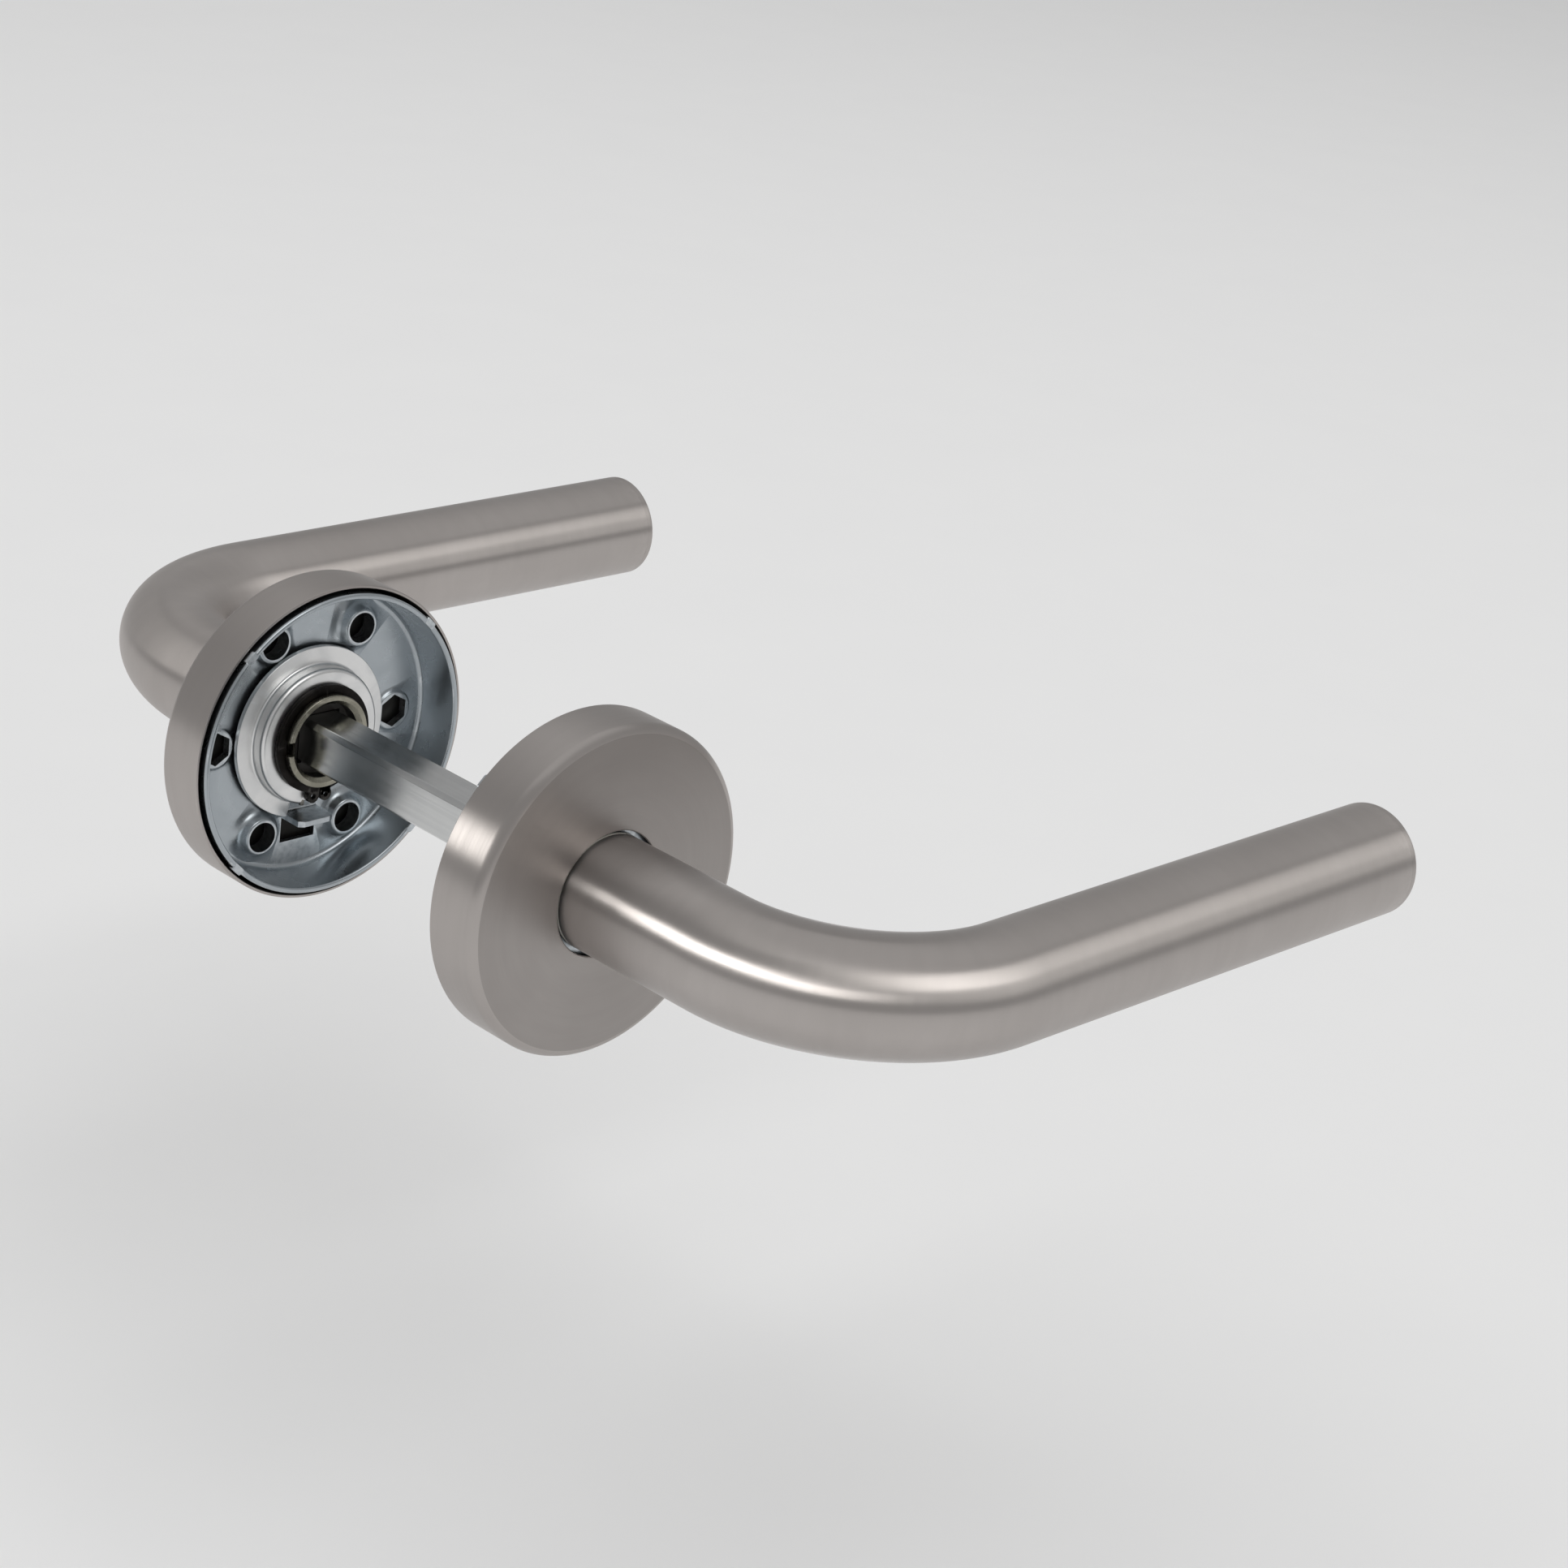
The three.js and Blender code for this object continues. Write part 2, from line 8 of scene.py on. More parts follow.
import json
from math import atan2, ceil, cos, hypot, pi, radians, sin, tan

import bmesh
import bpy
from mathutils import Matrix, Vector

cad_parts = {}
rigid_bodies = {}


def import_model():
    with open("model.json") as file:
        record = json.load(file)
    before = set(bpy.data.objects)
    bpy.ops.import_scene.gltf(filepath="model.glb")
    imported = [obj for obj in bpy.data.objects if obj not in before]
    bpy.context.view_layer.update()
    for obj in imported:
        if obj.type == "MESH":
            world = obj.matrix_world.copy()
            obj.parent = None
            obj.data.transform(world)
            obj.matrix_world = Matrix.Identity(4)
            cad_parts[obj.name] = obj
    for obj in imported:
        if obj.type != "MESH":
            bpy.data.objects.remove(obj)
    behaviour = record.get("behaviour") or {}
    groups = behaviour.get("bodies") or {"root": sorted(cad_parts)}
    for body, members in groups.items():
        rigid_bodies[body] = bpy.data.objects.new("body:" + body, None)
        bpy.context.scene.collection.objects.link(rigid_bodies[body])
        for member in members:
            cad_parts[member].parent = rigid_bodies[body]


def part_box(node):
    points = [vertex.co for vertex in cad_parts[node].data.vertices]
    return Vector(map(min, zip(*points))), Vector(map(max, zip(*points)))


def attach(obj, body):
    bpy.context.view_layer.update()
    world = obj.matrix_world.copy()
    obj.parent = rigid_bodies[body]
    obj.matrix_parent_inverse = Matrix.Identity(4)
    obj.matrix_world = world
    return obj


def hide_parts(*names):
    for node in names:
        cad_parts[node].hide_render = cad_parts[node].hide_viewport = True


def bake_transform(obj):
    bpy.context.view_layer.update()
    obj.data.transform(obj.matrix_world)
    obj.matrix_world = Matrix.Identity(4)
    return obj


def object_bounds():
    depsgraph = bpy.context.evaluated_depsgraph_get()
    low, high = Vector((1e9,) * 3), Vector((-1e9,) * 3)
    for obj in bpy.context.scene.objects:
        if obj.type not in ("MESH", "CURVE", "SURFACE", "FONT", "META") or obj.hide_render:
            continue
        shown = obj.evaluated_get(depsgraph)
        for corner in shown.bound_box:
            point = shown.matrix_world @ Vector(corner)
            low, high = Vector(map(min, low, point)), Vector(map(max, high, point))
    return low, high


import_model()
cad_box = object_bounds()

MM = 0.001
FULL_TURN = 2 * pi
DOWN = radians(-90)
BRUSH_MAP = "Brush"

# ---- Sizes in millimetres that the CAD boxes don't give ----
TUBE_WALL = 1.2
BEND_RADIUS = 30
COVER_WALL = 0.6
COVER_EDGE_RADIUS = 1.6
COVER_HOLE_RADIUS = 10.2
PLATE_WALL = 0.9
PLATE_RIM_WIDTH = 1
PLATE_TAPER = 0.5
PLATE_BORE = 9.25
BOLT_CIRCLE_RADIUS = 19
BOLT_SPREAD_DEG = 62.5
BOLT_HOLE_RADIUS = 2.6
BOSS_HEIGHT = 1.98
BOSS_LIP = 0.5
BOSS_FOOT = 5.2
HEX_CIRCLE_RADIUS = 18.2
HEX_HOLE_FLATS = 5
HEX_LIP_RADIUS = 3.25
HEX_LIP_HEIGHT = 0.55
TAB_WIDTH = 7
TAB_THICKNESS = 1
TAB_RADIUS = 14.2
TAB_TOP_DEPTH = 3
TAB_CHAMFER = 1
WINDOW_LENGTH = 4.5
LUG_COUNT = 4
LUG_START_DEG = 45
LUG_WIDTH = 2.4
LUG_HEIGHT = 1.6
LUG_RISE = 0.3
DRIVER_WALL = 0.9
DRIVER_FLANGE_DEPTH = 6.5
DRIVER_STEP_RADIUS = 11.8
DRIVER_BORE = 8.3
NOTCH_START_DEG = -105
NOTCH_END_DEG = -30
HUB_OVERHANG_DEG = 7
DOG_WIDTH = 1.8
DOG_TIP = 7
MOUTH_RADIUS = 6.4
MOUTH_DEPTH = 2.9
MOUTH_BEVEL = 0.7
KEYWAY_WIDTH = 2.4
KEYWAY_INNER = 6.7
GROOVE_RADIUS = 7.5
SPINDLE_HOLE = 8.2
SPINDLE_CHAMFER = 0.8
BUSH_FLANGE = 0.5
SPRING_WIRE = 0.9
SPRING_RADIUS = 10
SPRING_LEG = 3.3
SPRING_TURNS = 1
CIRCLIP_OPENING = 0.3
CIRCLIP_EYE = 1.13
CIRCLIP_EYE_HOLE = 0.5
GRUB_KEY = 2.5
GRUB_KEY_DEPTH = 2.5
GRUB_HOLE_START = 4.5
THREAD_PITCH = 0.8
THREAD_DEPTH = 0.3
CAP_EDGE_RADIUS = 0.8
CAP_THICKNESS = 1.5
CAP_SPIGOT_LENGTH = 5
CAP_SPIGOT_WALL = 1.2
RUNNING = 0.15
SEAT_GAP = 0.3
LEVER_TRAVEL_DEG = 45
FLOOR_SPACE = 4

# ---- How finely round shapes are made ----
ROUND = 192
SMALL_ROUND = 48
TUBE_ROUND = 96
WIRE_ROUND = 16
BEND_STEPS = 64
CORNER_STEPS = 7
SHARP_DEG = 32


# ---- Outlines ----


def soften(corners, closed=True, steps=CORNER_STEPS):
    """Outline through corners given as (x, y, rounding), each rounded by its own radius."""
    points = []
    count = len(corners)
    for i, (x, y, rounding) in enumerate(corners):
        here = Vector((x, y))
        if rounding == 0 or (not closed and i in (0, count - 1)):
            points.append((x, y))
            continue
        before = Vector(corners[i - 1][:2]) - here
        after = Vector(corners[(i + 1) % count][:2]) - here
        half = before.angle(after) / 2
        reach = min(rounding / tan(half), 0.49 * before.length, 0.49 * after.length)
        radius = reach * tan(half)
        inward = (before.normalized() + after.normalized()).normalized()
        centre = here + inward * (radius / sin(half))
        first = here + before.normalized() * reach - centre
        last = here + after.normalized() * reach - centre
        start = atan2(first.y, first.x)
        sweep = (atan2(last.y, last.x) - start + pi) % FULL_TURN - pi
        for k in range(steps + 1):
            a = start + sweep * k / steps
            points.append((centre.x + radius * cos(a), centre.y + radius * sin(a)))
    return points


def lengths(points):
    """How far along a line of points each one lies."""
    far = [0.0]
    for a, b in zip(points, points[1:]):
        far.append(far[-1] + (Vector(b) - Vector(a)).length)
    return far


def hexagon(flats, x=0.0, z=0.0):
    """Corners of a hexagon with the given size across its flats."""
    r = flats / 2 / cos(radians(30))
    angles = [radians(30 + 60 * i) for i in range(6)]
    return [(x + r * cos(a), z + r * sin(a)) for a in angles]


# ---- Meshes, in millimetres and in depth from the door face ----


def skin(rows, along, around, wrap_rows, wrap_columns):
    """A mesh through rows of points, with a map of how far along and how far around each one is."""
    bm = bmesh.new()
    uv = bm.loops.layers.uv.new(BRUSH_MAP)
    grid = []
    for row in rows:
        same = len({tuple(round(c, 9) for c in p) for p in row}) == 1
        made = [bm.verts.new(row[0])] * len(row) if same else [bm.verts.new(p) for p in row]
        grid.append(made)
    height = len(rows)
    width = len(rows[0])
    along = list(along) + [2 * along[-1] - along[-2]]
    around = list(around) + [around[0] + FULL_TURN]
    for i in range(height if wrap_rows else height - 1):
        k = (i + 1) % height
        for j in range(width if wrap_columns else width - 1):
            m = (j + 1) % width
            corners = [
                (grid[i][j], j, i), (grid[i][m], j + 1, i),
                (grid[k][m], j + 1, i + 1), (grid[k][j], j, i + 1),
            ]
            kept = [c for n, c in enumerate(corners) if c[0] is not corners[n - 1][0]]
            if len(kept) < 3:
                continue
            face = bm.faces.new([c[0] for c in kept])
            for loop, (_, column, row) in zip(face.loops, kept):
                loop[uv].uv = (around[column], along[row] * MM)
    return bm


def close_ends(bm):
    """Fills whatever openings a mesh still has."""
    edges = [e for e in bm.edges if e.is_boundary]
    if edges:
        bmesh.ops.holes_fill(bm, edges=edges, sides=0)
    return bm


def lathe(outline, closed=True, start=0.0, end=FULL_TURN, segments=ROUND):
    """An outline of (radius, depth) turned round the spindle's axis, or part of the way round."""
    whole = end - start >= FULL_TURN - 1e-6
    count = segments if whole else max(2, ceil(segments * (end - start) / FULL_TURN) + 1)
    span = count if whole else count - 1
    angles = [start + (end - start) * j / span for j in range(count)]
    rows = [[(r * cos(a), y, r * sin(a)) for a in angles] for r, y in outline]
    bm = skin(rows, lengths(outline), angles, closed, whole)
    return close_ends(bm) if not whole else bm


def prism(outline, start, end, ease=0.0):
    """A shape in X and Z standing from one depth to another, with its end edges eased."""
    middle = Vector((0, 0))
    for p in outline:
        middle += Vector(p) / len(outline)
    stations = [(start, ease), (start + ease, 0), (end - ease, 0), (end, ease)]
    if ease == 0:
        stations = [(start, 0), (end, 0)]
    rows = []
    for depth, inset in stations:
        row = []
        for x, z in outline:
            out = Vector((x, z)) - middle
            out *= 1 - inset / out.length
            row.append((middle.x + out.x, depth, middle.y + out.y))
        rows.append(row)
    places = [FULL_TURN * j / len(outline) for j in range(len(outline))]
    return close_ends(skin(rows, [s[0] for s in stations], places, False, True))


def cylinder(x, z, radius, start, end, segments=SMALL_ROUND):
    """A plug that lies along the depth, for joining or cutting."""
    outline = [(0, start), (radius, start), (radius, end), (0, end)]
    bm = lathe(outline, False, segments=segments)
    bmesh.ops.translate(bm, vec=(x, 0, z), verts=bm.verts)
    return bm


def block(low, high):
    """A square-edged body between two corners."""
    outline = [(low[0], low[2]), (high[0], low[2]), (high[0], high[2]), (low[0], high[2])]
    return prism(outline, low[1], high[1])


def across(bm, angle):
    """The mesh turned about the spindle's axis."""
    bmesh.ops.rotate(bm, cent=(0, 0, 0), matrix=Matrix.Rotation(-angle, 3, "Y"), verts=bm.verts)
    return bm


def as_object(bm):
    """A working object from a mesh, with its faces turned outward."""
    bmesh.ops.recalc_face_normals(bm, faces=bm.faces)
    mesh = bpy.data.meshes.new("work")
    bm.to_mesh(mesh)
    bm.free()
    obj = bpy.data.objects.new("work", mesh)
    bpy.context.scene.collection.objects.link(obj)
    return obj


def shaped(bm, joined=(), removed=(), edge=0.0, edge_deg=40):
    """The mesh of a body with others joined to it and cut from it, and its edges eased."""
    obj = as_object(bm)
    tools = [(as_object(b), "UNION") for b in joined]
    tools += [(as_object(b), "DIFFERENCE") for b in removed]
    for tool, operation in tools:
        step = obj.modifiers.new(operation, "BOOLEAN")
        step.operation = operation
        step.solver = "EXACT"
        step.object = tool
    if edge:
        ease = obj.modifiers.new("Ease", "BEVEL")
        ease.width = edge
        ease.segments = 2
        ease.limit_method = "ANGLE"
        ease.angle_limit = radians(edge_deg)
        ease.use_clamp_overlap = True
        ease.miter_outer = "MITER_ARC"
    bpy.context.view_layer.update()
    graph = bpy.context.evaluated_depsgraph_get()
    mesh = bpy.data.meshes.new_from_object(obj.evaluated_get(graph))
    for spare in [obj] + [tool for tool, _ in tools]:
        data = spare.data
        bpy.data.objects.remove(spare)
        bpy.data.meshes.remove(data)
    return mesh


# ---- Where the CAD puts the pieces of one side ----


def side_box(name):
    """Radius, first and last depth, and the box of a piece of the back handle, in millimetres."""
    low, high = (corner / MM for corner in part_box("back_" + name))
    return {
        "radius": high.x,
        "start": low.y - door_half,
        "end": high.y - door_half,
        "low": low,
        "high": high,
    }


door_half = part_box("back_fixing_plate")[0].y / MM
tube = side_box("lever_tube")
cap = side_box("end_cap")
socket = side_box("spindle_socket")
grub = side_box("grub_screw")
cover = side_box("rose_cover")
plate = side_box("fixing_plate")
bush = side_box("bearing_bush")
driver = side_box("driver_plate")
washer = side_box("thrust_washer")
circlip = side_box("circlip")
tube_radius = tube["high"].z
grip_depth = tube["end"] - tube_radius
grub_depth = (grub["start"] + grub["end"]) / 2
grub_radius = grub["radius"]
neck_radius = socket["radius"]
plate_floor = plate["end"] - PLATE_WALL
spindle_low, spindle_high = (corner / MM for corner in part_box("spindle"))


# ---- Pieces of one side ----


def lever_line(start, end):
    """Points and directions down the middle of the tube: neck, quarter bend and grip."""
    bend = grip_depth - BEND_RADIUS
    line = []
    neck_steps = 8
    for i in range(neck_steps):
        line.append(((0, start + (bend - start) * i / neck_steps), (0, 1)))
    for i in range(BEND_STEPS + 1):
        a = (pi / 2) * i / BEND_STEPS
        at = (BEND_RADIUS * (1 - cos(a)), bend + BEND_RADIUS * sin(a))
        line.append((at, (sin(a), cos(a))))
    grip_steps = 20
    for i in range(1, grip_steps + 1):
        line.append(((BEND_RADIUS + (end - BEND_RADIUS) * i / grip_steps, grip_depth), (1, 0)))
    return line


def tube_skin(line, stations, segments):
    """Rings of the given (index, radius) stations down a line, closed on themselves."""
    angles = [FULL_TURN * j / segments for j in range(segments)]
    far = lengths([at for at, _ in line])
    rows = []
    for i, radius in stations:
        (x, y), (dx, dy) = line[i]
        rows.append([
            (x - dy * radius * cos(a), y + dx * radius * cos(a), radius * sin(a)) for a in angles
        ])
    return skin(rows, [far[i] for i, _ in stations], angles, True, True)


def grub_hole():
    """The screw's hole, from beside the spindle down through the tube."""
    bm = cylinder(0, 0, grub_radius + RUNNING, 0, tube_radius)
    bmesh.ops.rotate(bm, cent=(0, 0, 0), matrix=Matrix.Rotation(-pi / 2, 3, "X"), verts=bm.verts)
    bmesh.ops.translate(bm, vec=(0, grub_depth, -GRUB_HOLE_START), verts=bm.verts)
    return bm


def lever_tube():
    """Bent tube, brushed around its line."""
    line = lever_line(tube["start"], cap["high"].x - CAP_THICKNESS)
    ease = 0.2
    bore = tube_radius - TUBE_WALL
    first_at, first_way = line[0]
    line.insert(1, ((first_at[0], first_at[1] + ease), first_way))
    last = len(line) - 1
    outer = [(0, tube_radius - ease)] + [(i, tube_radius) for i in range(1, last + 1)]
    inner = [(i, bore) for i in range(last, -1, -1)]
    return shaped(tube_skin(line, outer + inner, TUBE_ROUND), removed=[grub_hole()])


def end_cap():
    """Plug whose edge is rounded and polished into the tube."""
    spigot = tube_radius - TUBE_WALL - SEAT_GAP
    hollow = spigot - CAP_SPIGOT_WALL
    seam = 0.02
    outline = soften([
        (0, 0, 0),
        (hollow, 0, 0.2),
        (hollow, -CAP_SPIGOT_LENGTH, 0.2),
        (spigot, -CAP_SPIGOT_LENGTH, 0.3),
        (spigot, seam, 0),
        (tube_radius, seam, 0),
        (tube_radius, CAP_THICKNESS, CAP_EDGE_RADIUS),
        (0, CAP_THICKNESS, 0),
    ], closed=False)
    bm = lathe(outline, False, segments=TUBE_ROUND)
    bmesh.ops.rotate(bm, cent=(0, 0, 0), matrix=Matrix.Rotation(-pi / 2, 3, "Z"), verts=bm.verts)
    bmesh.ops.translate(
        bm, vec=(cap["high"].x - CAP_THICKNESS, grip_depth, 0), verts=bm.verts,
    )
    return shaped(bm)


def spindle_socket():
    """Turned insert with a bevelled mouth, two keyways, the circlip groove and a square hole."""
    start = socket["start"]
    end = socket["end"]
    mouth_end = start + MOUTH_DEPTH
    bm = lathe(soften([
        (0, mouth_end, 0),
        (MOUTH_RADIUS, mouth_end, 0.3),
        (MOUTH_RADIUS, start + MOUTH_BEVEL, 0.1),
        (MOUTH_RADIUS + MOUTH_BEVEL, start, 0.12),
        (neck_radius, start, 0.22),
        (neck_radius, circlip["start"] - 0.1, 0.06),
        (GROOVE_RADIUS, circlip["start"] - 0.1, 0.04),
        (GROOVE_RADIUS, circlip["end"] + 0.1, 0.04),
        (neck_radius, circlip["end"] + 0.1, 0.06),
        (neck_radius, end, 0.3),
        (0, end, 0),
    ], closed=False, steps=4), False)
    half = SPINDLE_HOLE / 2
    key = KEYWAY_WIDTH / 2
    key_end = driver["start"] + DRIVER_WALL + SEAT_GAP
    cuts = [block((-half, start, -half), (half, end + 1, half)), grub_hole()]
    cuts.append(block((KEYWAY_INNER, start - 1, -key), (neck_radius + 1, key_end, key)))
    cuts.append(block((-neck_radius - 1, start - 1, -key), (-KEYWAY_INNER, key_end, key)))
    return shaped(bm, removed=cuts, edge=0.06, edge_deg=50)


def grub_screw():
    """Headless screw with rolled threads and a hex socket at its outer end."""
    length = grub["high"].z - grub["low"].z
    root = grub_radius - THREAD_DEPTH
    outline = [(0, 0, 0), (root, 0, 0.1)]
    turns = int((length - THREAD_PITCH) / THREAD_PITCH)
    for i in range(turns):
        y = (i + 0.5) * THREAD_PITCH
        outline += [(root, y, 0.05), (grub_radius, y + THREAD_PITCH / 2, 0.06)]
    outline += [(root, length - 0.3, 0.05), (root - 0.2, length, 0.05), (0, length, 0)]
    bm = lathe(soften(outline, closed=False, steps=3), False, segments=SMALL_ROUND)
    key = prism(hexagon(GRUB_KEY), -1, GRUB_KEY_DEPTH)
    mesh = shaped(bm, removed=[key], edge=0.05, edge_deg=60)
    mesh.transform(Matrix.Rotation(pi / 2, 4, "X"))
    mesh.transform(Matrix.Translation((0, grub_depth, grub["low"].z)))
    return mesh


def rose_cover():
    """Pressed cup: a straight skirt, one rounded edge and a flat face with the neck's hole."""
    inner = cover["radius"] - COVER_WALL
    face = cover["end"]
    return shaped(lathe(soften([
        (inner, cover["start"], 0.15),
        (cover["radius"], cover["start"], 0.2),
        (cover["radius"], face, COVER_EDGE_RADIUS),
        (COVER_HOLE_RADIUS, face, 0.28),
        (COVER_HOLE_RADIUS, face - COVER_WALL, 0.2),
        (inner, face - COVER_WALL, COVER_EDGE_RADIUS - COVER_WALL),
    ], steps=10)))


def boss(x, z, lip, foot, height):
    """Mound pressed up from the plate's floor, flared at its foot."""
    top = plate_floor - height
    bm = lathe(soften([
        (0, top, 0),
        (lip, top, 0.4),
        (lip + 0.35 * (foot - lip), plate_floor - 0.3 * height, 1.6),
        (foot, plate_floor + 0.05, 0),
        (foot, plate["end"] - 0.1, 0),
        (0, plate["end"] - 0.1, 0),
    ], closed=False), False, segments=SMALL_ROUND)
    bmesh.ops.translate(bm, vec=(x, 0, z), verts=bm.verts)
    return bm


def tab_ends():
    """Cuts that take off the stop tab's two top corners."""
    half = TAB_WIDTH / 2
    cut = TAB_CHAMFER + 0.02
    ends = (-TAB_RADIUS - TAB_THICKNESS - 1, 1 - TAB_RADIUS)
    cuts = []
    for s in (-1, 1):
        shape = [(s * (half - cut), -0.02), (s * (half + 0.5), -0.02), (s * (half + 0.5), cut)]
        rows = [[(x, TAB_TOP_DEPTH + y, z) for x, y in shape] for z in ends]
        cuts.append(close_ends(skin(rows, [0, 1], [0, 2, 4], False, True)))
    return cuts


def stop_tab():
    """Tab bent up out of the plate's floor, below the spindle."""
    outer = TAB_RADIUS + TAB_THICKNESS
    root = TAB_RADIUS - 1.2
    section = soften([
        (-TAB_RADIUS, TAB_TOP_DEPTH, 0.12),
        (-outer, TAB_TOP_DEPTH, 0.12),
        (-outer, plate["end"], 1.2),
        (-root, plate["end"], 0),
        (-root, plate_floor, 0),
        (-TAB_RADIUS, plate_floor, 0.35),
    ])
    rows = [[(x, depth, z) for z, depth in section] for x in (-TAB_WIDTH / 2, TAB_WIDTH / 2)]
    places = [FULL_TURN * j / len(section) for j in range(len(section))]
    return close_ends(skin(rows, [0, TAB_WIDTH], places, False, True))


def tab_window():
    """The opening that the stop tab leaves in the floor."""
    half = TAB_WIDTH / 2 + 0.01
    return block(
        (-half, plate_floor - 0.5, -TAB_RADIUS - TAB_THICKNESS - WINDOW_LENGTH),
        (half, plate["end"] + 1, -TAB_RADIUS + 1.1),
    )


def rim_lugs():
    """Small lugs round the plate's rim that hold the cover."""
    rim = plate["high"].x
    half = LUG_WIDTH / 2
    outline = soften([
        (rim - PLATE_RIM_WIDTH, -half, 0.3), (rim + LUG_RISE, -half, 0.3),
        (rim + LUG_RISE, half, 0.3), (rim - PLATE_RIM_WIDTH, half, 0.3),
    ], steps=4)
    turns = [radians(LUG_START_DEG + 360 / LUG_COUNT * i) for i in range(LUG_COUNT)]
    return [across(prism(outline, -0.02, LUG_HEIGHT, 0.15), turn) for turn in turns]


def fixing_plate():
    """Pressed dish with four extruded bolt holes, two hex holes, the stop tab and the lugs."""
    rim = plate["high"].x
    foot = rim - PLATE_TAPER
    back = plate["end"]
    dish = lathe(soften([
        (rim - PLATE_RIM_WIDTH, 0, 0.4),
        (rim, 0, 0.4),
        (foot, back, 1.5),
        (PLATE_BORE, back, 0.2),
        (PLATE_BORE, plate_floor, 0.3),
        (foot - PLATE_WALL, plate_floor, 0.9),
    ], steps=8))
    joined = []
    removed = []
    lip = BOLT_HOLE_RADIUS + BOSS_LIP
    for side in (-1, 1):
        for level in (-1, 1):
            x = side * BOLT_CIRCLE_RADIUS * cos(radians(BOLT_SPREAD_DEG))
            z = level * BOLT_CIRCLE_RADIUS * sin(radians(BOLT_SPREAD_DEG))
            joined.append(boss(x, z, lip, BOSS_FOOT, BOSS_HEIGHT))
            removed.append(cylinder(x, z, BOLT_HOLE_RADIUS, plate_floor - 3, back + 1))
        x = side * HEX_CIRCLE_RADIUS
        joined.append(boss(x, 0, HEX_LIP_RADIUS, HEX_LIP_RADIUS + 1, HEX_LIP_HEIGHT))
        removed.append(prism(hexagon(HEX_HOLE_FLATS, x), plate_floor - 3, back + 1))
    joined += [stop_tab()] + rim_lugs()
    removed += tab_ends()
    first = shaped(dish, removed=[tab_window()])
    bm = bmesh.new()
    bm.from_mesh(first)
    bpy.data.meshes.remove(first)
    return shaped(bm, joined, removed, edge=0.09, edge_deg=48)


def bearing_bush():
    """Flanged nylon bush in the plate's bore."""
    radius = washer["radius"]
    bore = neck_radius + RUNNING
    flange = bush["end"] - BUSH_FLANGE
    return shaped(lathe(soften([
        (bore, bush["start"], 0.15),
        (radius, bush["start"], 0.15),
        (radius, flange, 0.1),
        (bush["radius"], flange, 0.12),
        (bush["radius"], bush["end"], 0.12),
        (bore, bush["end"], 0.12),
    ], steps=3)))


def thrust_washer():
    """Flat ring between the bush and the driver plate."""
    bore = neck_radius + RUNNING
    return shaped(lathe(soften([
        (bore, washer["start"], 0.1),
        (washer["radius"], washer["start"], 0.12),
        (washer["radius"], washer["end"], 0.12),
        (bore, washer["end"], 0.1),
    ], steps=3)))


def driver_plate():
    """Stamped ring with a raised hub, two dogs for the keyways and an open sector for the tab."""
    hub = driver["start"]
    back = driver["end"]
    hub_back = hub + DRIVER_WALL
    step_bore = DRIVER_STEP_RADIUS - DRIVER_WALL
    start = radians(NOTCH_END_DEG)
    end = radians(NOTCH_START_DEG) + FULL_TURN
    body = lathe(soften([
        (DRIVER_BORE, hub, 0.12),
        (DRIVER_STEP_RADIUS, hub, 0.75),
        (DRIVER_STEP_RADIUS, DRIVER_FLANGE_DEPTH, 0.5),
        (driver["radius"], DRIVER_FLANGE_DEPTH, 0.14),
        (driver["radius"], back, 0.14),
        (step_bore, back, 0.5),
        (step_bore, hub_back, 0.3),
        (DRIVER_BORE, hub_back, 0.1),
    ]), start=start, end=end)
    lip = lathe(
        [(DRIVER_BORE, hub), (step_bore, hub), (step_bore, hub_back), (DRIVER_BORE, hub_back)],
        start=end - radians(2), end=end + radians(HUB_OVERHANG_DEG),
    )
    half = DOG_WIDTH / 2
    root = DRIVER_BORE + DRIVER_WALL
    dogs = [
        block((DOG_TIP, hub, -half), (root, hub_back, half)),
        block((-root, hub, -half), (-DOG_TIP, hub_back, half)),
    ]
    return shaped(body, joined=[lip] + dogs, edge=0.07, edge_deg=50)


def circlip_ring():
    """Sprung ring with an eye at each end of its opening."""
    inner = GROOVE_RADIUS + 0.1
    start = circlip["start"]
    end = circlip["end"]
    half = CIRCLIP_OPENING / 2
    band = lathe(soften([
        (inner, start, 0.1), (circlip["radius"], start, 0.15),
        (circlip["radius"], end, 0.15), (inner, end, 0.1),
    ], steps=3))
    x = half + CIRCLIP_EYE
    z = circlip["low"].z + CIRCLIP_EYE + 0.02
    joined = []
    removed = [block((-half, start - 1, 2 * z), (half, end + 1, 0))]
    for s in (-1, 1):
        sides = sorted((0, s * (x + 0.8 * CIRCLIP_EYE)))
        joined.append(cylinder(s * x, z, CIRCLIP_EYE, start, end, 32))
        joined.append(block((sides[0], start, z), (sides[1], end, -inner - 0.5)))
        removed.append(cylinder(s * x, z, CIRCLIP_EYE_HOLE, start - 1, end + 1, 24))
    return shaped(band, joined, removed, edge=0.07, edge_deg=50)


def spring_depths():
    """Depth of the leg on the stop tab, and of the leg on the driver plate."""
    lift = SPRING_WIRE / 2 + RUNNING
    return plate_floor - lift, driver["start"] + DRIVER_WALL + lift


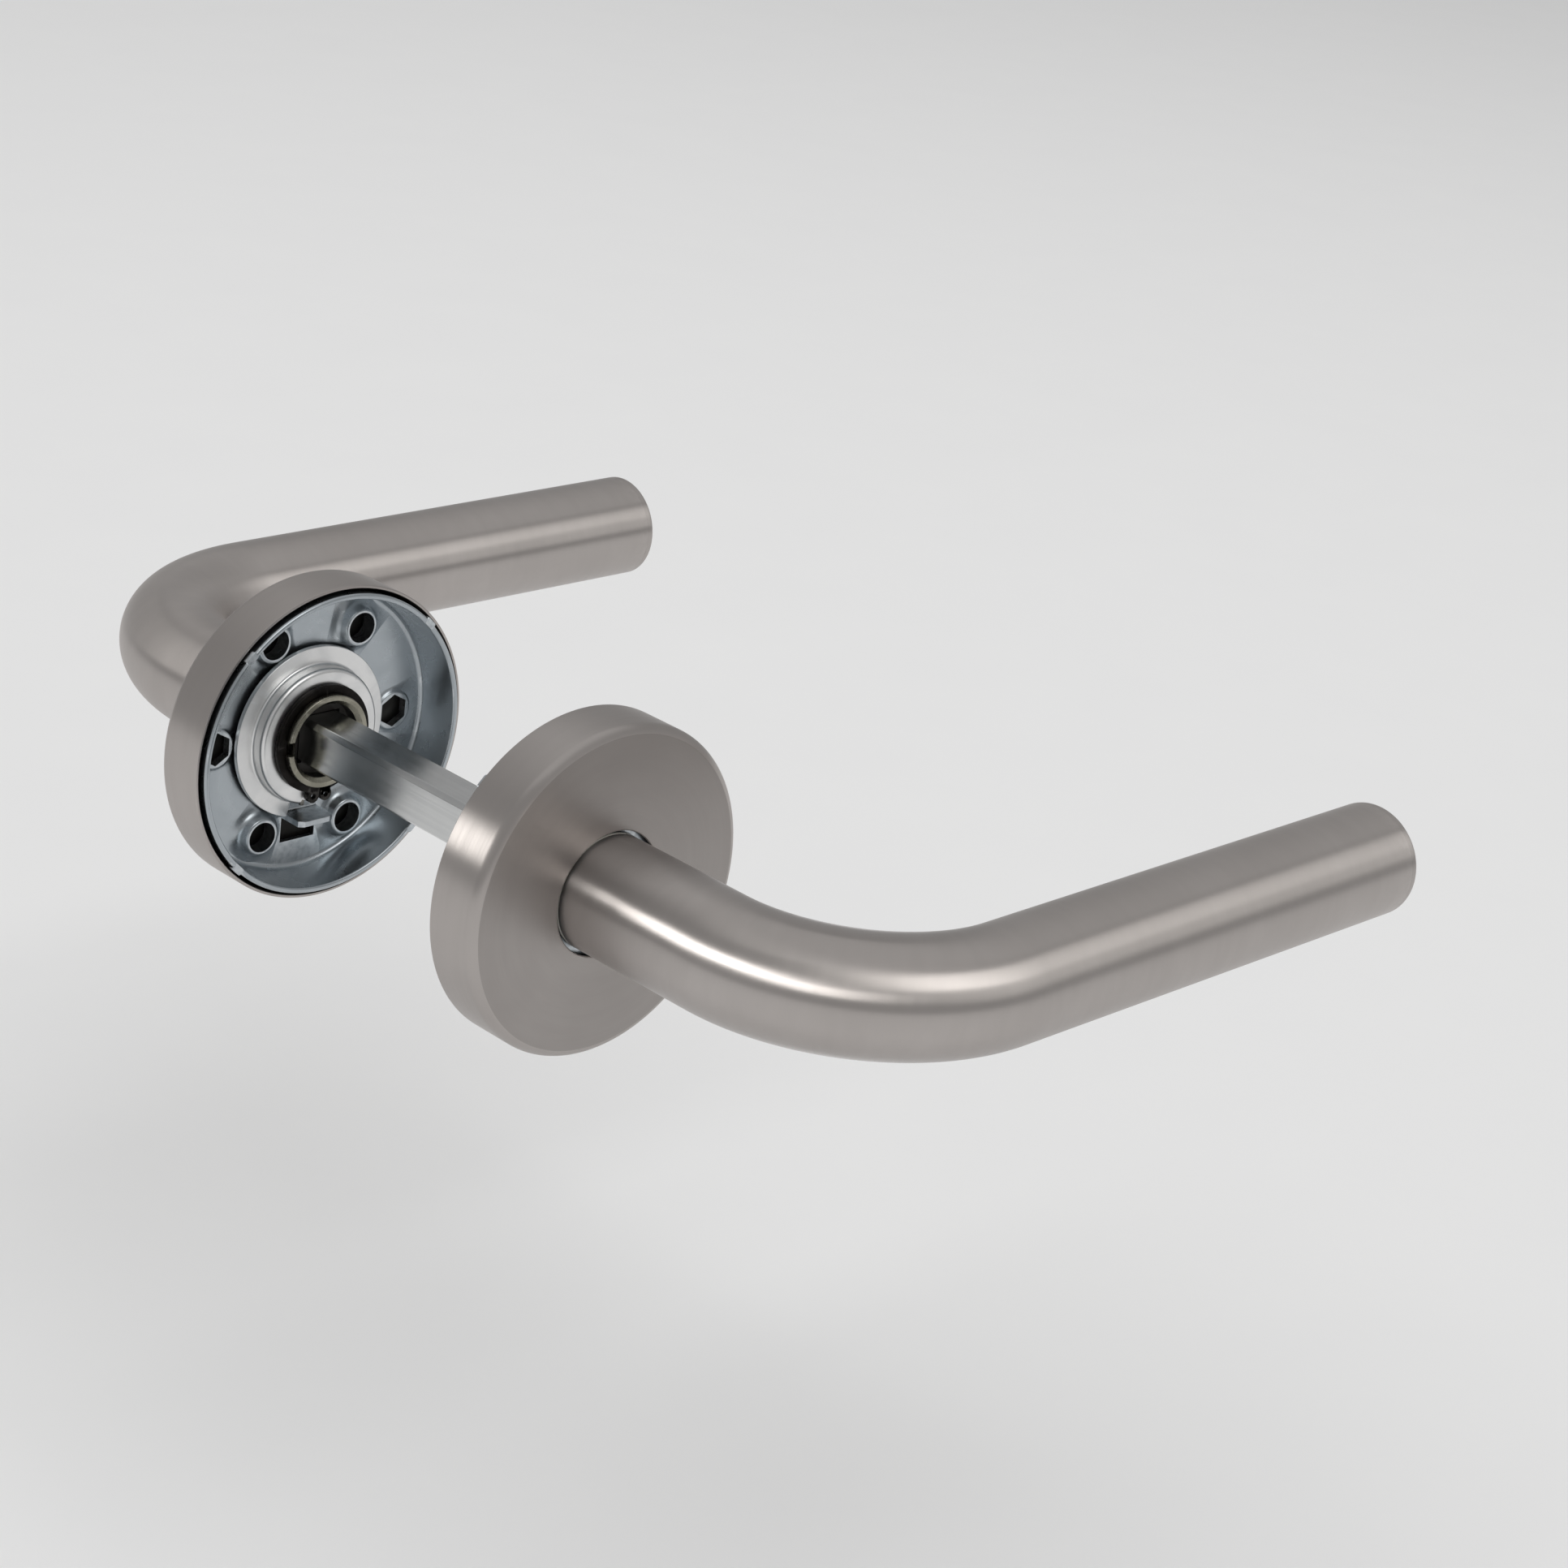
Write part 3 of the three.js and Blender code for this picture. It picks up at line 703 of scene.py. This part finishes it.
def return_spring():
    """Torsion spring wound round the bush, with a leg turned out at each end."""
    fixed, moving = spring_depths()
    space = atan2(SPRING_WIRE / 2 + SEAT_GAP, SPRING_RADIUS)
    swing = radians(NOTCH_END_DEG) - space - FULL_TURN * (SPRING_TURNS + 1) - DOWN
    leg_steps = 4
    turn_steps = ceil(abs(swing) / FULL_TURN * SMALL_ROUND)
    line = []
    for i in range(leg_steps):
        reach = SPRING_RADIUS + SPRING_LEG * (1 - i / leg_steps)
        line.append(Vector((reach * cos(DOWN), fixed, reach * sin(DOWN))))
    for i in range(turn_steps + 1):
        a = DOWN + swing * i / turn_steps
        depth = fixed + (moving - fixed) * i / turn_steps
        line.append(Vector((SPRING_RADIUS * cos(a), depth, SPRING_RADIUS * sin(a))))
    a = DOWN + swing
    for i in range(1, leg_steps + 1):
        reach = SPRING_RADIUS + SPRING_LEG * i / leg_steps
        line.append(Vector((reach * cos(a), moving, reach * sin(a))))
    angles = [FULL_TURN * j / WIRE_ROUND for j in range(WIRE_ROUND)]
    rows = []
    for i, at in enumerate(line):
        way = (line[min(i + 1, len(line) - 1)] - line[max(i - 1, 0)]).normalized()
        out = way.cross(Vector((0, 1, 0))).normalized()
        up = out.cross(way)
        radius = SPRING_WIRE / 2
        rows.append([tuple(at + (out * cos(b) + up * sin(b)) * radius) for b in angles])
    return shaped(close_ends(skin(rows, lengths(line), angles, False, True)))


def spindle_bar():
    """Square bar through the door, with broken corners and chamfered ends."""
    half = spindle_high.x
    c = half - SPINDLE_CHAMFER
    corners = [
        (half, -c), (half, c), (c, half), (-c, half),
        (-half, c), (-half, -c), (-c, -half), (c, -half),
    ]
    outline = soften([(x, z, 0.25) for x, z in corners], steps=3)
    return shaped(prism(outline, spindle_low.y, spindle_high.y, 0.7))


# ---- Finishes ----


class Nodes:
    """Short calls for filling a node tree."""

    def __init__(self, tree):
        self.tree = tree

    def add(self, kind, label="", settings=(), **sockets):
        node = self.tree.nodes.new(kind)
        node.label = label
        for name, value in dict(settings).items():
            setattr(node, name, value)
        for name, value in sockets.items():
            self.set(node, name.replace("_", " "), value)
        return node

    def set(self, node, socket, value):
        target = node.inputs[socket]
        if isinstance(value, bpy.types.NodeSocket):
            self.tree.links.new(value, target)
        else:
            target.default_value = value

    def maths(self, operation, *values, clamp=False):
        node = self.tree.nodes.new("ShaderNodeMath")
        node.operation = operation
        node.use_clamp = clamp
        for i, value in enumerate(values):
            self.set(node, i, value)
        return node.outputs[0]

    def mix(self, amount, first, second, blend="MIX"):
        node = self.tree.nodes.new("ShaderNodeMix")
        node.data_type = "RGBA"
        node.blend_type = blend
        self.set(node, 0, amount)
        self.set(node, 6, first)
        self.set(node, 7, second)
        return node.outputs[2]

    def remap(self, value, low, high, to_low=0.0, to_high=1.0, smooth=False):
        node = self.tree.nodes.new("ShaderNodeMapRange")
        if smooth:
            node.interpolation_type = "SMOOTHSTEP"
        for i, v in enumerate((value, low, high, to_low, to_high)):
            self.set(node, i, v)
        return node.outputs[0]


def new_group(name, inputs, outputs):
    """An empty shader group with named inputs and outputs, and its first nodes."""
    group = bpy.data.node_groups.new(name, "ShaderNodeTree")
    for label, kind, value in inputs:
        made = group.interface.new_socket(label, in_out="INPUT", socket_type=kind)
        if value is not None:
            made.default_value = value
    for label, kind in outputs:
        group.interface.new_socket(label, in_out="OUTPUT", socket_type=kind)
    nodes = Nodes(group)
    return group, nodes, nodes.add("NodeGroupInput"), nodes.add("NodeGroupOutput")


FLOAT = "NodeSocketFloat"
VECTOR = "NodeSocketVector"


def brush_marks_group():
    """Fine marks that run around the piece, from its brush map."""
    group, n, given, out = new_group(
        "Brush marks",
        [("Map", VECTOR, None), ("Marks per metre", FLOAT, 4000.0), ("Run", FLOAT, 1.0)],
        [("Height", FLOAT), ("Streak", FLOAT)],
    )
    split = n.add("ShaderNodeSeparateXYZ", Vector=given.outputs["Map"])
    around = split.outputs[0]
    run = given.outputs["Run"]
    x = n.maths("MULTIPLY", n.maths("COSINE", around), run)
    y = n.maths("MULTIPLY", n.maths("SINE", around), run)
    levels = []
    for share in (1.0, 0.16):
        z = n.maths("MULTIPLY", split.outputs[1], n.maths(
            "MULTIPLY", given.outputs["Marks per metre"], share,
        ))
        place = n.add("ShaderNodeCombineXYZ", X=x, Y=y, Z=z)
        noise = n.add("ShaderNodeTexNoise", Vector=place.outputs[0], Scale=1.0, Detail=2.0)
        levels.append(noise.outputs[0])
    n.set(out, "Height", levels[0])
    n.set(out, "Streak", n.remap(levels[1], 0.3, 0.7))
    return group


def edge_wear_group():
    """How much an outer edge is rubbed bright."""
    group, n, given, out = new_group(
        "Edge wear",
        [("Start", FLOAT, 0.52), ("Full", FLOAT, 0.6), ("Breaks per metre", FLOAT, 900.0)],
        [("Mask", FLOAT)],
    )
    shape = n.add("ShaderNodeNewGeometry")
    place = n.add("ShaderNodeTexCoord")
    noise = n.add(
        "ShaderNodeTexNoise", Vector=place.outputs["Object"],
        Scale=given.outputs["Breaks per metre"], Detail=2.0,
    )
    edge = n.remap(
        shape.outputs["Pointiness"], given.outputs["Start"], given.outputs["Full"], smooth=True,
    )
    n.set(out, "Mask", n.maths("MULTIPLY", edge, n.remap(noise.outputs[0], 0.3, 0.6)))
    return group


def handling_group():
    """Soft cloudy marks left by hands and by wiping."""
    group, n, given, out = new_group(
        "Handling",
        [("Marks per metre", FLOAT, 40.0), ("Stretch", VECTOR, (1.0, 1.0, 1.0))],
        [("Mask", FLOAT)],
    )
    place = n.add("ShaderNodeTexCoord")
    shift = n.add("ShaderNodeVectorMath", settings={"operation": "MULTIPLY"})
    n.set(shift, 0, place.outputs["Object"])
    n.set(shift, 1, given.outputs["Stretch"])
    noise = n.add(
        "ShaderNodeTexNoise", Vector=shift.outputs[0],
        Scale=given.outputs["Marks per metre"], Detail=3.0, Roughness=0.55, Distortion=0.4,
    )
    n.set(out, "Mask", n.remap(noise.outputs[0], 0.35, 0.68, smooth=True))
    return group


def plating_group():
    """The mottle of a plated surface: soft clouds, a fine grain and a few dark specks."""
    group, n, given, out = new_group(
        "Plating",
        [("Clouds per metre", FLOAT, 160.0), ("Grains per metre", FLOAT, 2500.0),
         ("Specks per metre", FLOAT, 260.0)],
        [("Cloud", FLOAT), ("Grain", FLOAT), ("Speck", FLOAT)],
    )
    place = n.add("ShaderNodeTexCoord").outputs["Object"]
    cloud = n.add(
        "ShaderNodeTexNoise", Vector=place, Scale=given.outputs["Clouds per metre"],
        Detail=3.0, Distortion=0.8,
    )
    grain = n.add(
        "ShaderNodeTexNoise", Vector=place, Scale=given.outputs["Grains per metre"], Detail=2.0,
    )
    speck = n.add("ShaderNodeTexVoronoi", Vector=place, Scale=given.outputs["Specks per metre"])
    n.set(out, "Cloud", n.remap(cloud.outputs[0], 0.35, 0.65, smooth=True))
    n.set(out, "Grain", grain.outputs[0])
    n.set(out, "Speck", n.maths("LESS_THAN", speck.outputs["Distance"], 0.07))
    return group


brush_marks = brush_marks_group()
edge_wear = edge_wear_group()
handling = handling_group()
plating = plating_group()


def start_material(name, metallic=1.0):
    """A material with its own shader node, metal unless told otherwise."""
    material = bpy.data.materials.new(name)
    material.use_nodes = True
    tree = material.node_tree
    shader = tree.nodes["Principled BSDF"]
    shader.inputs["Metallic"].default_value = metallic
    return material, Nodes(tree), shader


def place_group(n, group, **sockets):
    """One of the shared shader groups placed in a material, with its own values."""
    node = n.add("ShaderNodeGroup", group.name, {"node_tree": group})
    for name, value in sockets.items():
        n.set(node, name.replace("_", " "), value)
    return node


def colour(r, g, b):
    return (r, g, b, 1.0)


def satin_stainless(name, rough, spread, shade=1.0):
    """Stainless steel brushed round and round, so light spreads across the marks; a shade below 1
    darkens its colour as painted shade.
    """
    material, n, shader = start_material(name)
    the_map = n.add("ShaderNodeUVMap", settings={"uv_map": BRUSH_MAP}).outputs[0]
    marks = place_group(n, brush_marks, Map=the_map, Marks_per_metre=3000.0, Run=1.3)
    cloud = place_group(n, handling, Marks_per_metre=26.0)
    edge = place_group(n, edge_wear, Start=0.53, Full=0.62)
    base = n.mix(cloud.outputs["Mask"], colour(0.5, 0.466, 0.447), colour(0.467, 0.434, 0.415))
    base = n.mix(
        n.maths("MULTIPLY", marks.outputs["Streak"], 0.2), base, colour(0.405, 0.377, 0.36),
    )
    base = n.mix(
        n.maths("MULTIPLY", edge.outputs["Mask"], 0.3), base, colour(0.62, 0.58, 0.56),
    )
    # shade scales the colour down: painted shade where it is below 1.
    n.set(shader, "Base Color", n.mix(1.0, base, colour(shade, shade, shade), "MULTIPLY"))
    marked = n.remap(marks.outputs["Height"], 0.3, 0.7, rough - 0.02, rough + 0.02)
    n.set(shader, "Roughness", n.maths(
        "ADD", marked, n.maths("MULTIPLY", cloud.outputs["Mask"], 0.02),
    ))
    shader.inputs["Anisotropic"].default_value = spread
    shader.inputs["Anisotropic Rotation"].default_value = 0.25
    way = n.add("ShaderNodeTangent", settings={"direction_type": "UV_MAP", "uv_map": BRUSH_MAP})
    n.set(shader, "Tangent", way.outputs[0])
    bump = n.add("ShaderNodeBump", Height=marks.outputs["Height"], Strength=0.035, Distance=0.00004)
    n.set(shader, "Normal", bump.outputs[0])
    return material


def zinc(name, light, dark, rough, speck_share):
    """Zinc plate over pressed steel: mottled and cool, rubbed bright along its edges."""
    material, n, shader = start_material(name)
    plate_marks = place_group(n, plating)
    edge = place_group(n, edge_wear, Start=0.52, Full=0.58)
    base = n.mix(plate_marks.outputs["Cloud"], light, dark)
    base = n.mix(
        n.maths("MULTIPLY", plate_marks.outputs["Speck"], speck_share), base,
        colour(0.12, 0.13, 0.14),
    )
    base = n.mix(
        n.maths("MULTIPLY", edge.outputs["Mask"], 0.45), base, colour(0.8, 0.83, 0.85),
    )
    n.set(shader, "Base Color", base)
    n.set(shader, "Roughness", n.remap(
        plate_marks.outputs["Cloud"], 0.0, 1.0, rough - 0.015, rough + 0.02,
    ))
    bump = n.add(
        "ShaderNodeBump", Height=plate_marks.outputs["Grain"], Strength=0.05, Distance=0.00003,
    )
    n.set(shader, "Normal", bump.outputs[0])
    return material


def drawn_zinc():
    """Zinc plate over drawn bar: faint lines run down its length."""
    material, n, shader = start_material("drawn zinc")
    lines = place_group(n, handling, Marks_per_metre=1300.0, Stretch=(1.0, 0.012, 1.0))
    cloud = place_group(n, plating, Clouds_per_metre=120.0)
    base = n.mix(lines.outputs["Mask"], colour(0.64, 0.645, 0.64), colour(0.6, 0.605, 0.605))
    base = n.mix(
        n.maths("MULTIPLY", cloud.outputs["Cloud"], 0.3), base, colour(0.52, 0.53, 0.53),
    )
    n.set(shader, "Base Color", base)
    n.set(shader, "Roughness", n.remap(lines.outputs["Mask"], 0.0, 1.0, 0.2, 0.25))
    bump = n.add("ShaderNodeBump", Height=lines.outputs["Mask"], Strength=0.02, Distance=0.00003)
    n.set(shader, "Normal", bump.outputs[0])
    return material


def inner_painted_shade_material():
    """Inner faces coloured near black and dull: painted shade, faintly mottled at random."""
    material, n, shader = start_material("inner painted shade", 0.6)
    # The mask only varies the painted shade a little at random.
    stain = place_group(n, handling, Marks_per_metre=90.0)
    n.set(shader, "Base Color", n.mix(
        stain.outputs["Mask"], colour(0.05, 0.047, 0.043), colour(0.03, 0.028, 0.026),
    ))
    n.set(shader, "Roughness", n.remap(stain.outputs["Mask"], 0.0, 1.0, 0.5, 0.65))
    return material


def nickel_plate():
    """Warm, glossy nickel on the socket, clouded and worn at its edges."""
    material, n, shader = start_material("nickel plate")
    marks = place_group(n, plating, Clouds_per_metre=300.0)
    edge = place_group(n, edge_wear, Start=0.52, Full=0.58)
    base = n.mix(marks.outputs["Cloud"], colour(0.33, 0.315, 0.262), colour(0.26, 0.25, 0.205))
    base = n.mix(
        n.maths("MULTIPLY", edge.outputs["Mask"], 0.5), base, colour(0.6, 0.58, 0.5),
    )
    n.set(shader, "Base Color", base)
    n.set(shader, "Roughness", n.remap(marks.outputs["Cloud"], 0.0, 1.0, 0.17, 0.3))
    bump = n.add("ShaderNodeBump", Height=marks.outputs["Grain"], Strength=0.1, Distance=0.00003)
    n.set(shader, "Normal", bump.outputs[0])
    return material


def dark_steel(name, shade, worn, rough):
    """Blackened or blued steel with its edges rubbed through."""
    material, n, shader = start_material(name)
    marks = place_group(n, plating, Clouds_per_metre=400.0)
    edge = place_group(n, edge_wear, Start=0.52, Full=0.6)
    base = n.mix(marks.outputs["Cloud"], shade, colour(*(0.7 * c for c in shade[:3])))
    base = n.mix(n.maths("MULTIPLY", edge.outputs["Mask"], 0.6), base, worn)
    n.set(shader, "Base Color", base)
    n.set(shader, "Roughness", n.remap(
        marks.outputs["Cloud"], 0.0, 1.0, rough - 0.05, rough + 0.08,
    ))
    bump = n.add("ShaderNodeBump", Height=marks.outputs["Grain"], Strength=0.2, Distance=0.00003)
    n.set(shader, "Normal", bump.outputs[0])
    return material


def nylon():
    """Natural nylon with a faint moulded grain."""
    material, n, shader = start_material("nylon", 0.0)
    marks = place_group(n, plating, Clouds_per_metre=200.0)
    base = n.mix(marks.outputs["Cloud"], colour(0.72, 0.7, 0.64), colour(0.66, 0.635, 0.57))
    n.set(shader, "Base Color", base)
    n.set(shader, "Roughness", n.remap(marks.outputs["Grain"], 0.3, 0.7, 0.45, 0.6))
    shader.inputs["IOR"].default_value = 1.53
    bump = n.add("ShaderNodeBump", Height=marks.outputs["Grain"], Strength=0.2, Distance=0.00004)
    n.set(shader, "Normal", bump.outputs[0])
    return material


inner_painted_shade = inner_painted_shade_material()
# The rose cover's flat face: rougher satin with less spread, and its colour darkened by 0.8 as
# painted shade.
face_satin_painted_shade = satin_stainless("satin stainless face painted shade", 0.4, 0.4, 0.8)
finishes = {
    "satin_stainless": satin_stainless("satin stainless", 0.3, 0.93),
    "zinc_plate": zinc(
        "zinc plate", colour(0.44, 0.476, 0.503), colour(0.417, 0.453, 0.48), 0.28, 0.08,
    ),
    "bright_zinc": zinc(
        "bright zinc", colour(0.8, 0.8, 0.795), colour(0.72, 0.725, 0.725), 0.3, 0.1,
    ),
    "nickel_plate": nickel_plate(),
    "black_steel": dark_steel(
        "black steel", colour(0.02, 0.018, 0.017), colour(0.1, 0.095, 0.09), 0.5,
    ),
    "spring_steel": dark_steel(
        "spring steel", colour(0.3, 0.28, 0.25), colour(0.5, 0.48, 0.45), 0.33,
    ),
    "nylon": nylon(),
}


# ---- Assembly ----


SEVERAL_FINISHES = ("rose_cover", "spindle_socket")


def inside_of(piece, radius, depth):
    """Whether a place lies inside the cover or the socket's mouth, where shade is painted on."""
    if piece == "rose_cover":
        wall = 0.7 * COVER_WALL
        return radius < cover["radius"] - wall and depth < cover["end"] - wall
    return radius < MOUTH_RADIUS + 0.02 and depth > socket["start"] + MOUTH_BEVEL


def finish_parts(mesh, piece):
    """Other materials: near-black painted shade for the faces inside a piece, and satin darkened as
    painted shade for the flat face of the rose cover.
    """
    mesh.materials.append(inner_painted_shade)
    mesh.materials.append(face_satin_painted_shade)
    for face in mesh.polygons:
        at = face.center
        if inside_of(piece, hypot(at.x, at.z), at.y):
            face.material_index = 1
        elif piece == "rose_cover" and at.y > cover["end"] - 0.01:
            face.material_index = 2


def finish_piece(mesh, name):
    """A piece as an object, smooth but for its real edges, in its finish."""
    mesh.name = name
    mesh.shade_smooth()
    mesh.set_sharp_from_angle(angle=radians(SHARP_DEG))
    obj = bpy.data.objects.new(name, mesh)
    bpy.context.scene.collection.objects.link(obj)
    return obj


def both_sides(mesh, node, slot, body):
    """The piece on the back handle, and its mirror on the front one.

    A piece with no body of its own is the spring, which winds between the rose and the lever.
    """
    mesh.materials.clear()
    mesh.materials.append(finishes[slot])
    if node in SEVERAL_FINISHES:
        finish_parts(mesh, node)
    for side, direction in (("front", -1), ("back", 1)):
        name = side + "_" + node
        placed = mesh.copy()
        placed.transform(Matrix.Translation((0, door_half, 0)))
        placed.transform(Matrix.Diagonal((MM, MM * direction, MM, 1)))
        if direction < 0:
            placed.flip_normals()
        obj = finish_piece(placed, name + "_shown")
        if body is None:
            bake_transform(obj)
        else:
            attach(obj, body)
        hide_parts(name)
    bpy.data.meshes.remove(mesh)


SIDE_PIECES = [
    ("lever_tube", lever_tube, "satin_stainless", "levers"),
    ("end_cap", end_cap, "satin_stainless", "levers"),
    ("spindle_socket", spindle_socket, "nickel_plate", "levers"),
    ("grub_screw", grub_screw, "black_steel", "levers"),
    ("rose_cover", rose_cover, "satin_stainless", "roses"),
    ("fixing_plate", fixing_plate, "zinc_plate", "roses"),
    ("bearing_bush", bearing_bush, "nylon", "roses"),
    ("return_spring", return_spring, "spring_steel", None),
    ("driver_plate", driver_plate, "bright_zinc", "levers"),
    ("thrust_washer", thrust_washer, "zinc_plate", "levers"),
    ("circlip", circlip_ring, "black_steel", "levers"),
]

for node, build, slot, body in SIDE_PIECES:
    both_sides(build(), node, slot, body)

bar = spindle_bar()
bar.transform(Matrix.Diagonal((MM, MM, MM, 1)))
bar.materials.clear()
bar.materials.append(drawn_zinc())
bar_object = finish_piece(bar, "spindle_shown")
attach(bar_object, "levers")
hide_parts("spindle")


# ---- Floor, light and camera ----


# Lights are placed in metres, the camera in millimetres like the pieces.
HANDLE_MIDDLE = (0.02, -0.03, 0.0)
WARM = (1.0, 0.995, 0.975)
WHITE = (1.0, 1.0, 1.0)
CAMERA_AZIMUTH_DEG = -47.875
CAMERA_ELEVATION_DEG = 21.992
CAMERA_ROLL_DEG = 7.52
CAMERA_DISTANCE = 587.89
CAMERA_LENS = 80.735
SENSOR_WIDTH = 36
AIM = Vector((50, 0, 0))
AIM_SHIFT = (18.236, -6.031)


def pale_floor():
    """A plain pale table top, low enough for the levers to be turned down over it."""
    material, n, shader = start_material("pale floor", 0.0)
    place = n.add("ShaderNodeTexCoord").outputs["Object"]
    grain = n.add("ShaderNodeTexNoise", Vector=place, Scale=30.0, Detail=3.0)
    n.set(shader, "Base Color", n.mix(
        grain.outputs[0], colour(0.92, 0.92, 0.92), colour(0.94, 0.94, 0.937),
    ))
    shader.inputs["Roughness"].default_value = 0.9
    shader.inputs["Specular IOR Level"].default_value = 0.2
    bm = bmesh.new()
    bmesh.ops.create_grid(bm, x_segments=8, y_segments=8, size=4.0)
    lowest = cad_box[1][0] * sin(radians(LEVER_TRAVEL_DEG)) + tube_radius * MM
    low = -lowest - FLOOR_SPACE * MM
    bmesh.ops.translate(bm, vec=(0, 0, low), verts=bm.verts)
    mesh = bpy.data.meshes.new("floor")
    bm.to_mesh(mesh)
    bm.free()
    mesh.materials.append(material)
    floor = bpy.data.objects.new("floor", mesh)
    bpy.context.scene.collection.objects.link(floor)


def softbox(
    name, azimuth, elevation, distance, width, height, brightness, tint, chosen=(), mirrored=True,
):
    """A rectangular light of a given brightness, turned to the handle, for all or chosen pieces."""
    a = radians(azimuth)
    e = radians(elevation)
    way = Vector((cos(a) * cos(e), sin(a) * cos(e), sin(e)))
    data = bpy.data.lights.new(name, "AREA")
    data.shape = "RECTANGLE"
    data.size = width
    data.size_y = height
    data.energy = brightness * pi * width * height
    data.color = tint
    light = bpy.data.objects.new(name, data)
    light.location = Vector(HANDLE_MIDDLE) + way * distance
    light.rotation_euler = (-way).to_track_quat("-Z", "Y").to_euler()
    light.visible_camera = False
    light.visible_glossy = mirrored
    bpy.context.scene.collection.objects.link(light)
    if chosen:
        lit = bpy.data.collections.new(name)
        for obj in chosen:
            lit.objects.link(obj)
        light.light_linking.receiver_collection = lit


def studio_lights():
    """Soft boxes for the two levers and their roses, and a soft top light for all."""
    shown = [o for o in bpy.data.objects if o.name.endswith("_shown")]
    front_pieces = [o for o in shown if o.name.startswith("front_")]
    front_lever = [o for o in front_pieces if "lever_tube" in o.name or "end_cap" in o.name]
    back_lever = [o for o in shown if o.name in ("back_lever_tube_shown", "back_end_cap_shown")]
    all_but_covers = [o for o in shown if "rose_cover" not in o.name]
    softbox("window left", 137, 16, 1.2, 0.5, 0.32, 4.1, WARM, front_pieces)
    softbox("window right", 171, 24, 1.3, 0.75, 0.32, 4.5, WARM, front_lever)
    softbox("front left", -152, 21, 1.2, 0.6, 0.3, 3.2, WARM, front_lever)
    softbox("front high", -88, 45, 1.3, 0.8, 0.6, 2.1, WARM, all_but_covers)
    softbox("front fill", -60, 28, 1.5, 1.6, 1.0, 0.55, WARM, front_lever)
    softbox("back fill", 150, 36, 1.2, 1.1, 1.3, 0.7, WARM, back_lever)
    softbox("side fill", -50, 24, 1.4, 1.2, 0.9, 0.5, WARM, back_lever)
    softbox("ceiling", 30, 82, 1.7, 2.4, 2.4, 0.22, WHITE)
    softbox("table wash", 0, 88, 1.8, 2.4, 2.4, 1.0, WHITE, mirrored=False)


def room_light():
    """An even pale room all round."""
    world = bpy.data.worlds.new("room")
    world.use_nodes = True
    background = world.node_tree.nodes["Background"]
    background.inputs["Color"].default_value = colour(0.86, 0.86, 0.86)
    background.inputs["Strength"].default_value = 0.48
    bpy.context.scene.world = world
    bpy.context.scene.view_settings.view_transform = "Standard"


def set_camera():
    """A camera that looks at the handle from the front left and above, rolled a little."""
    azimuth = radians(CAMERA_AZIMUTH_DEG)
    elevation = radians(CAMERA_ELEVATION_DEG)
    roll = radians(CAMERA_ROLL_DEG)
    back = Vector((
        sin(azimuth) * cos(elevation), -cos(azimuth) * cos(elevation), sin(elevation),
    ))
    level = Vector((0, 0, 1)).cross(back).normalized()
    upward = back.cross(level)
    right = level * cos(roll) + upward * sin(roll)
    up = upward * cos(roll) - level * sin(roll)
    place = AIM + back * CAMERA_DISTANCE + right * AIM_SHIFT[0] + up * AIM_SHIFT[1]
    camera_data = bpy.data.cameras.new("camera")
    camera_data.lens = CAMERA_LENS
    camera_data.sensor_width = SENSOR_WIDTH
    camera = bpy.data.objects.new("camera", camera_data)
    turn = Matrix((right, up, back)).transposed().to_4x4()
    camera.matrix_world = Matrix.Translation(place * MM) @ turn
    bpy.context.scene.collection.objects.link(camera)
    bpy.context.scene.camera = camera


pale_floor()
studio_lights()
room_light()
set_camera()
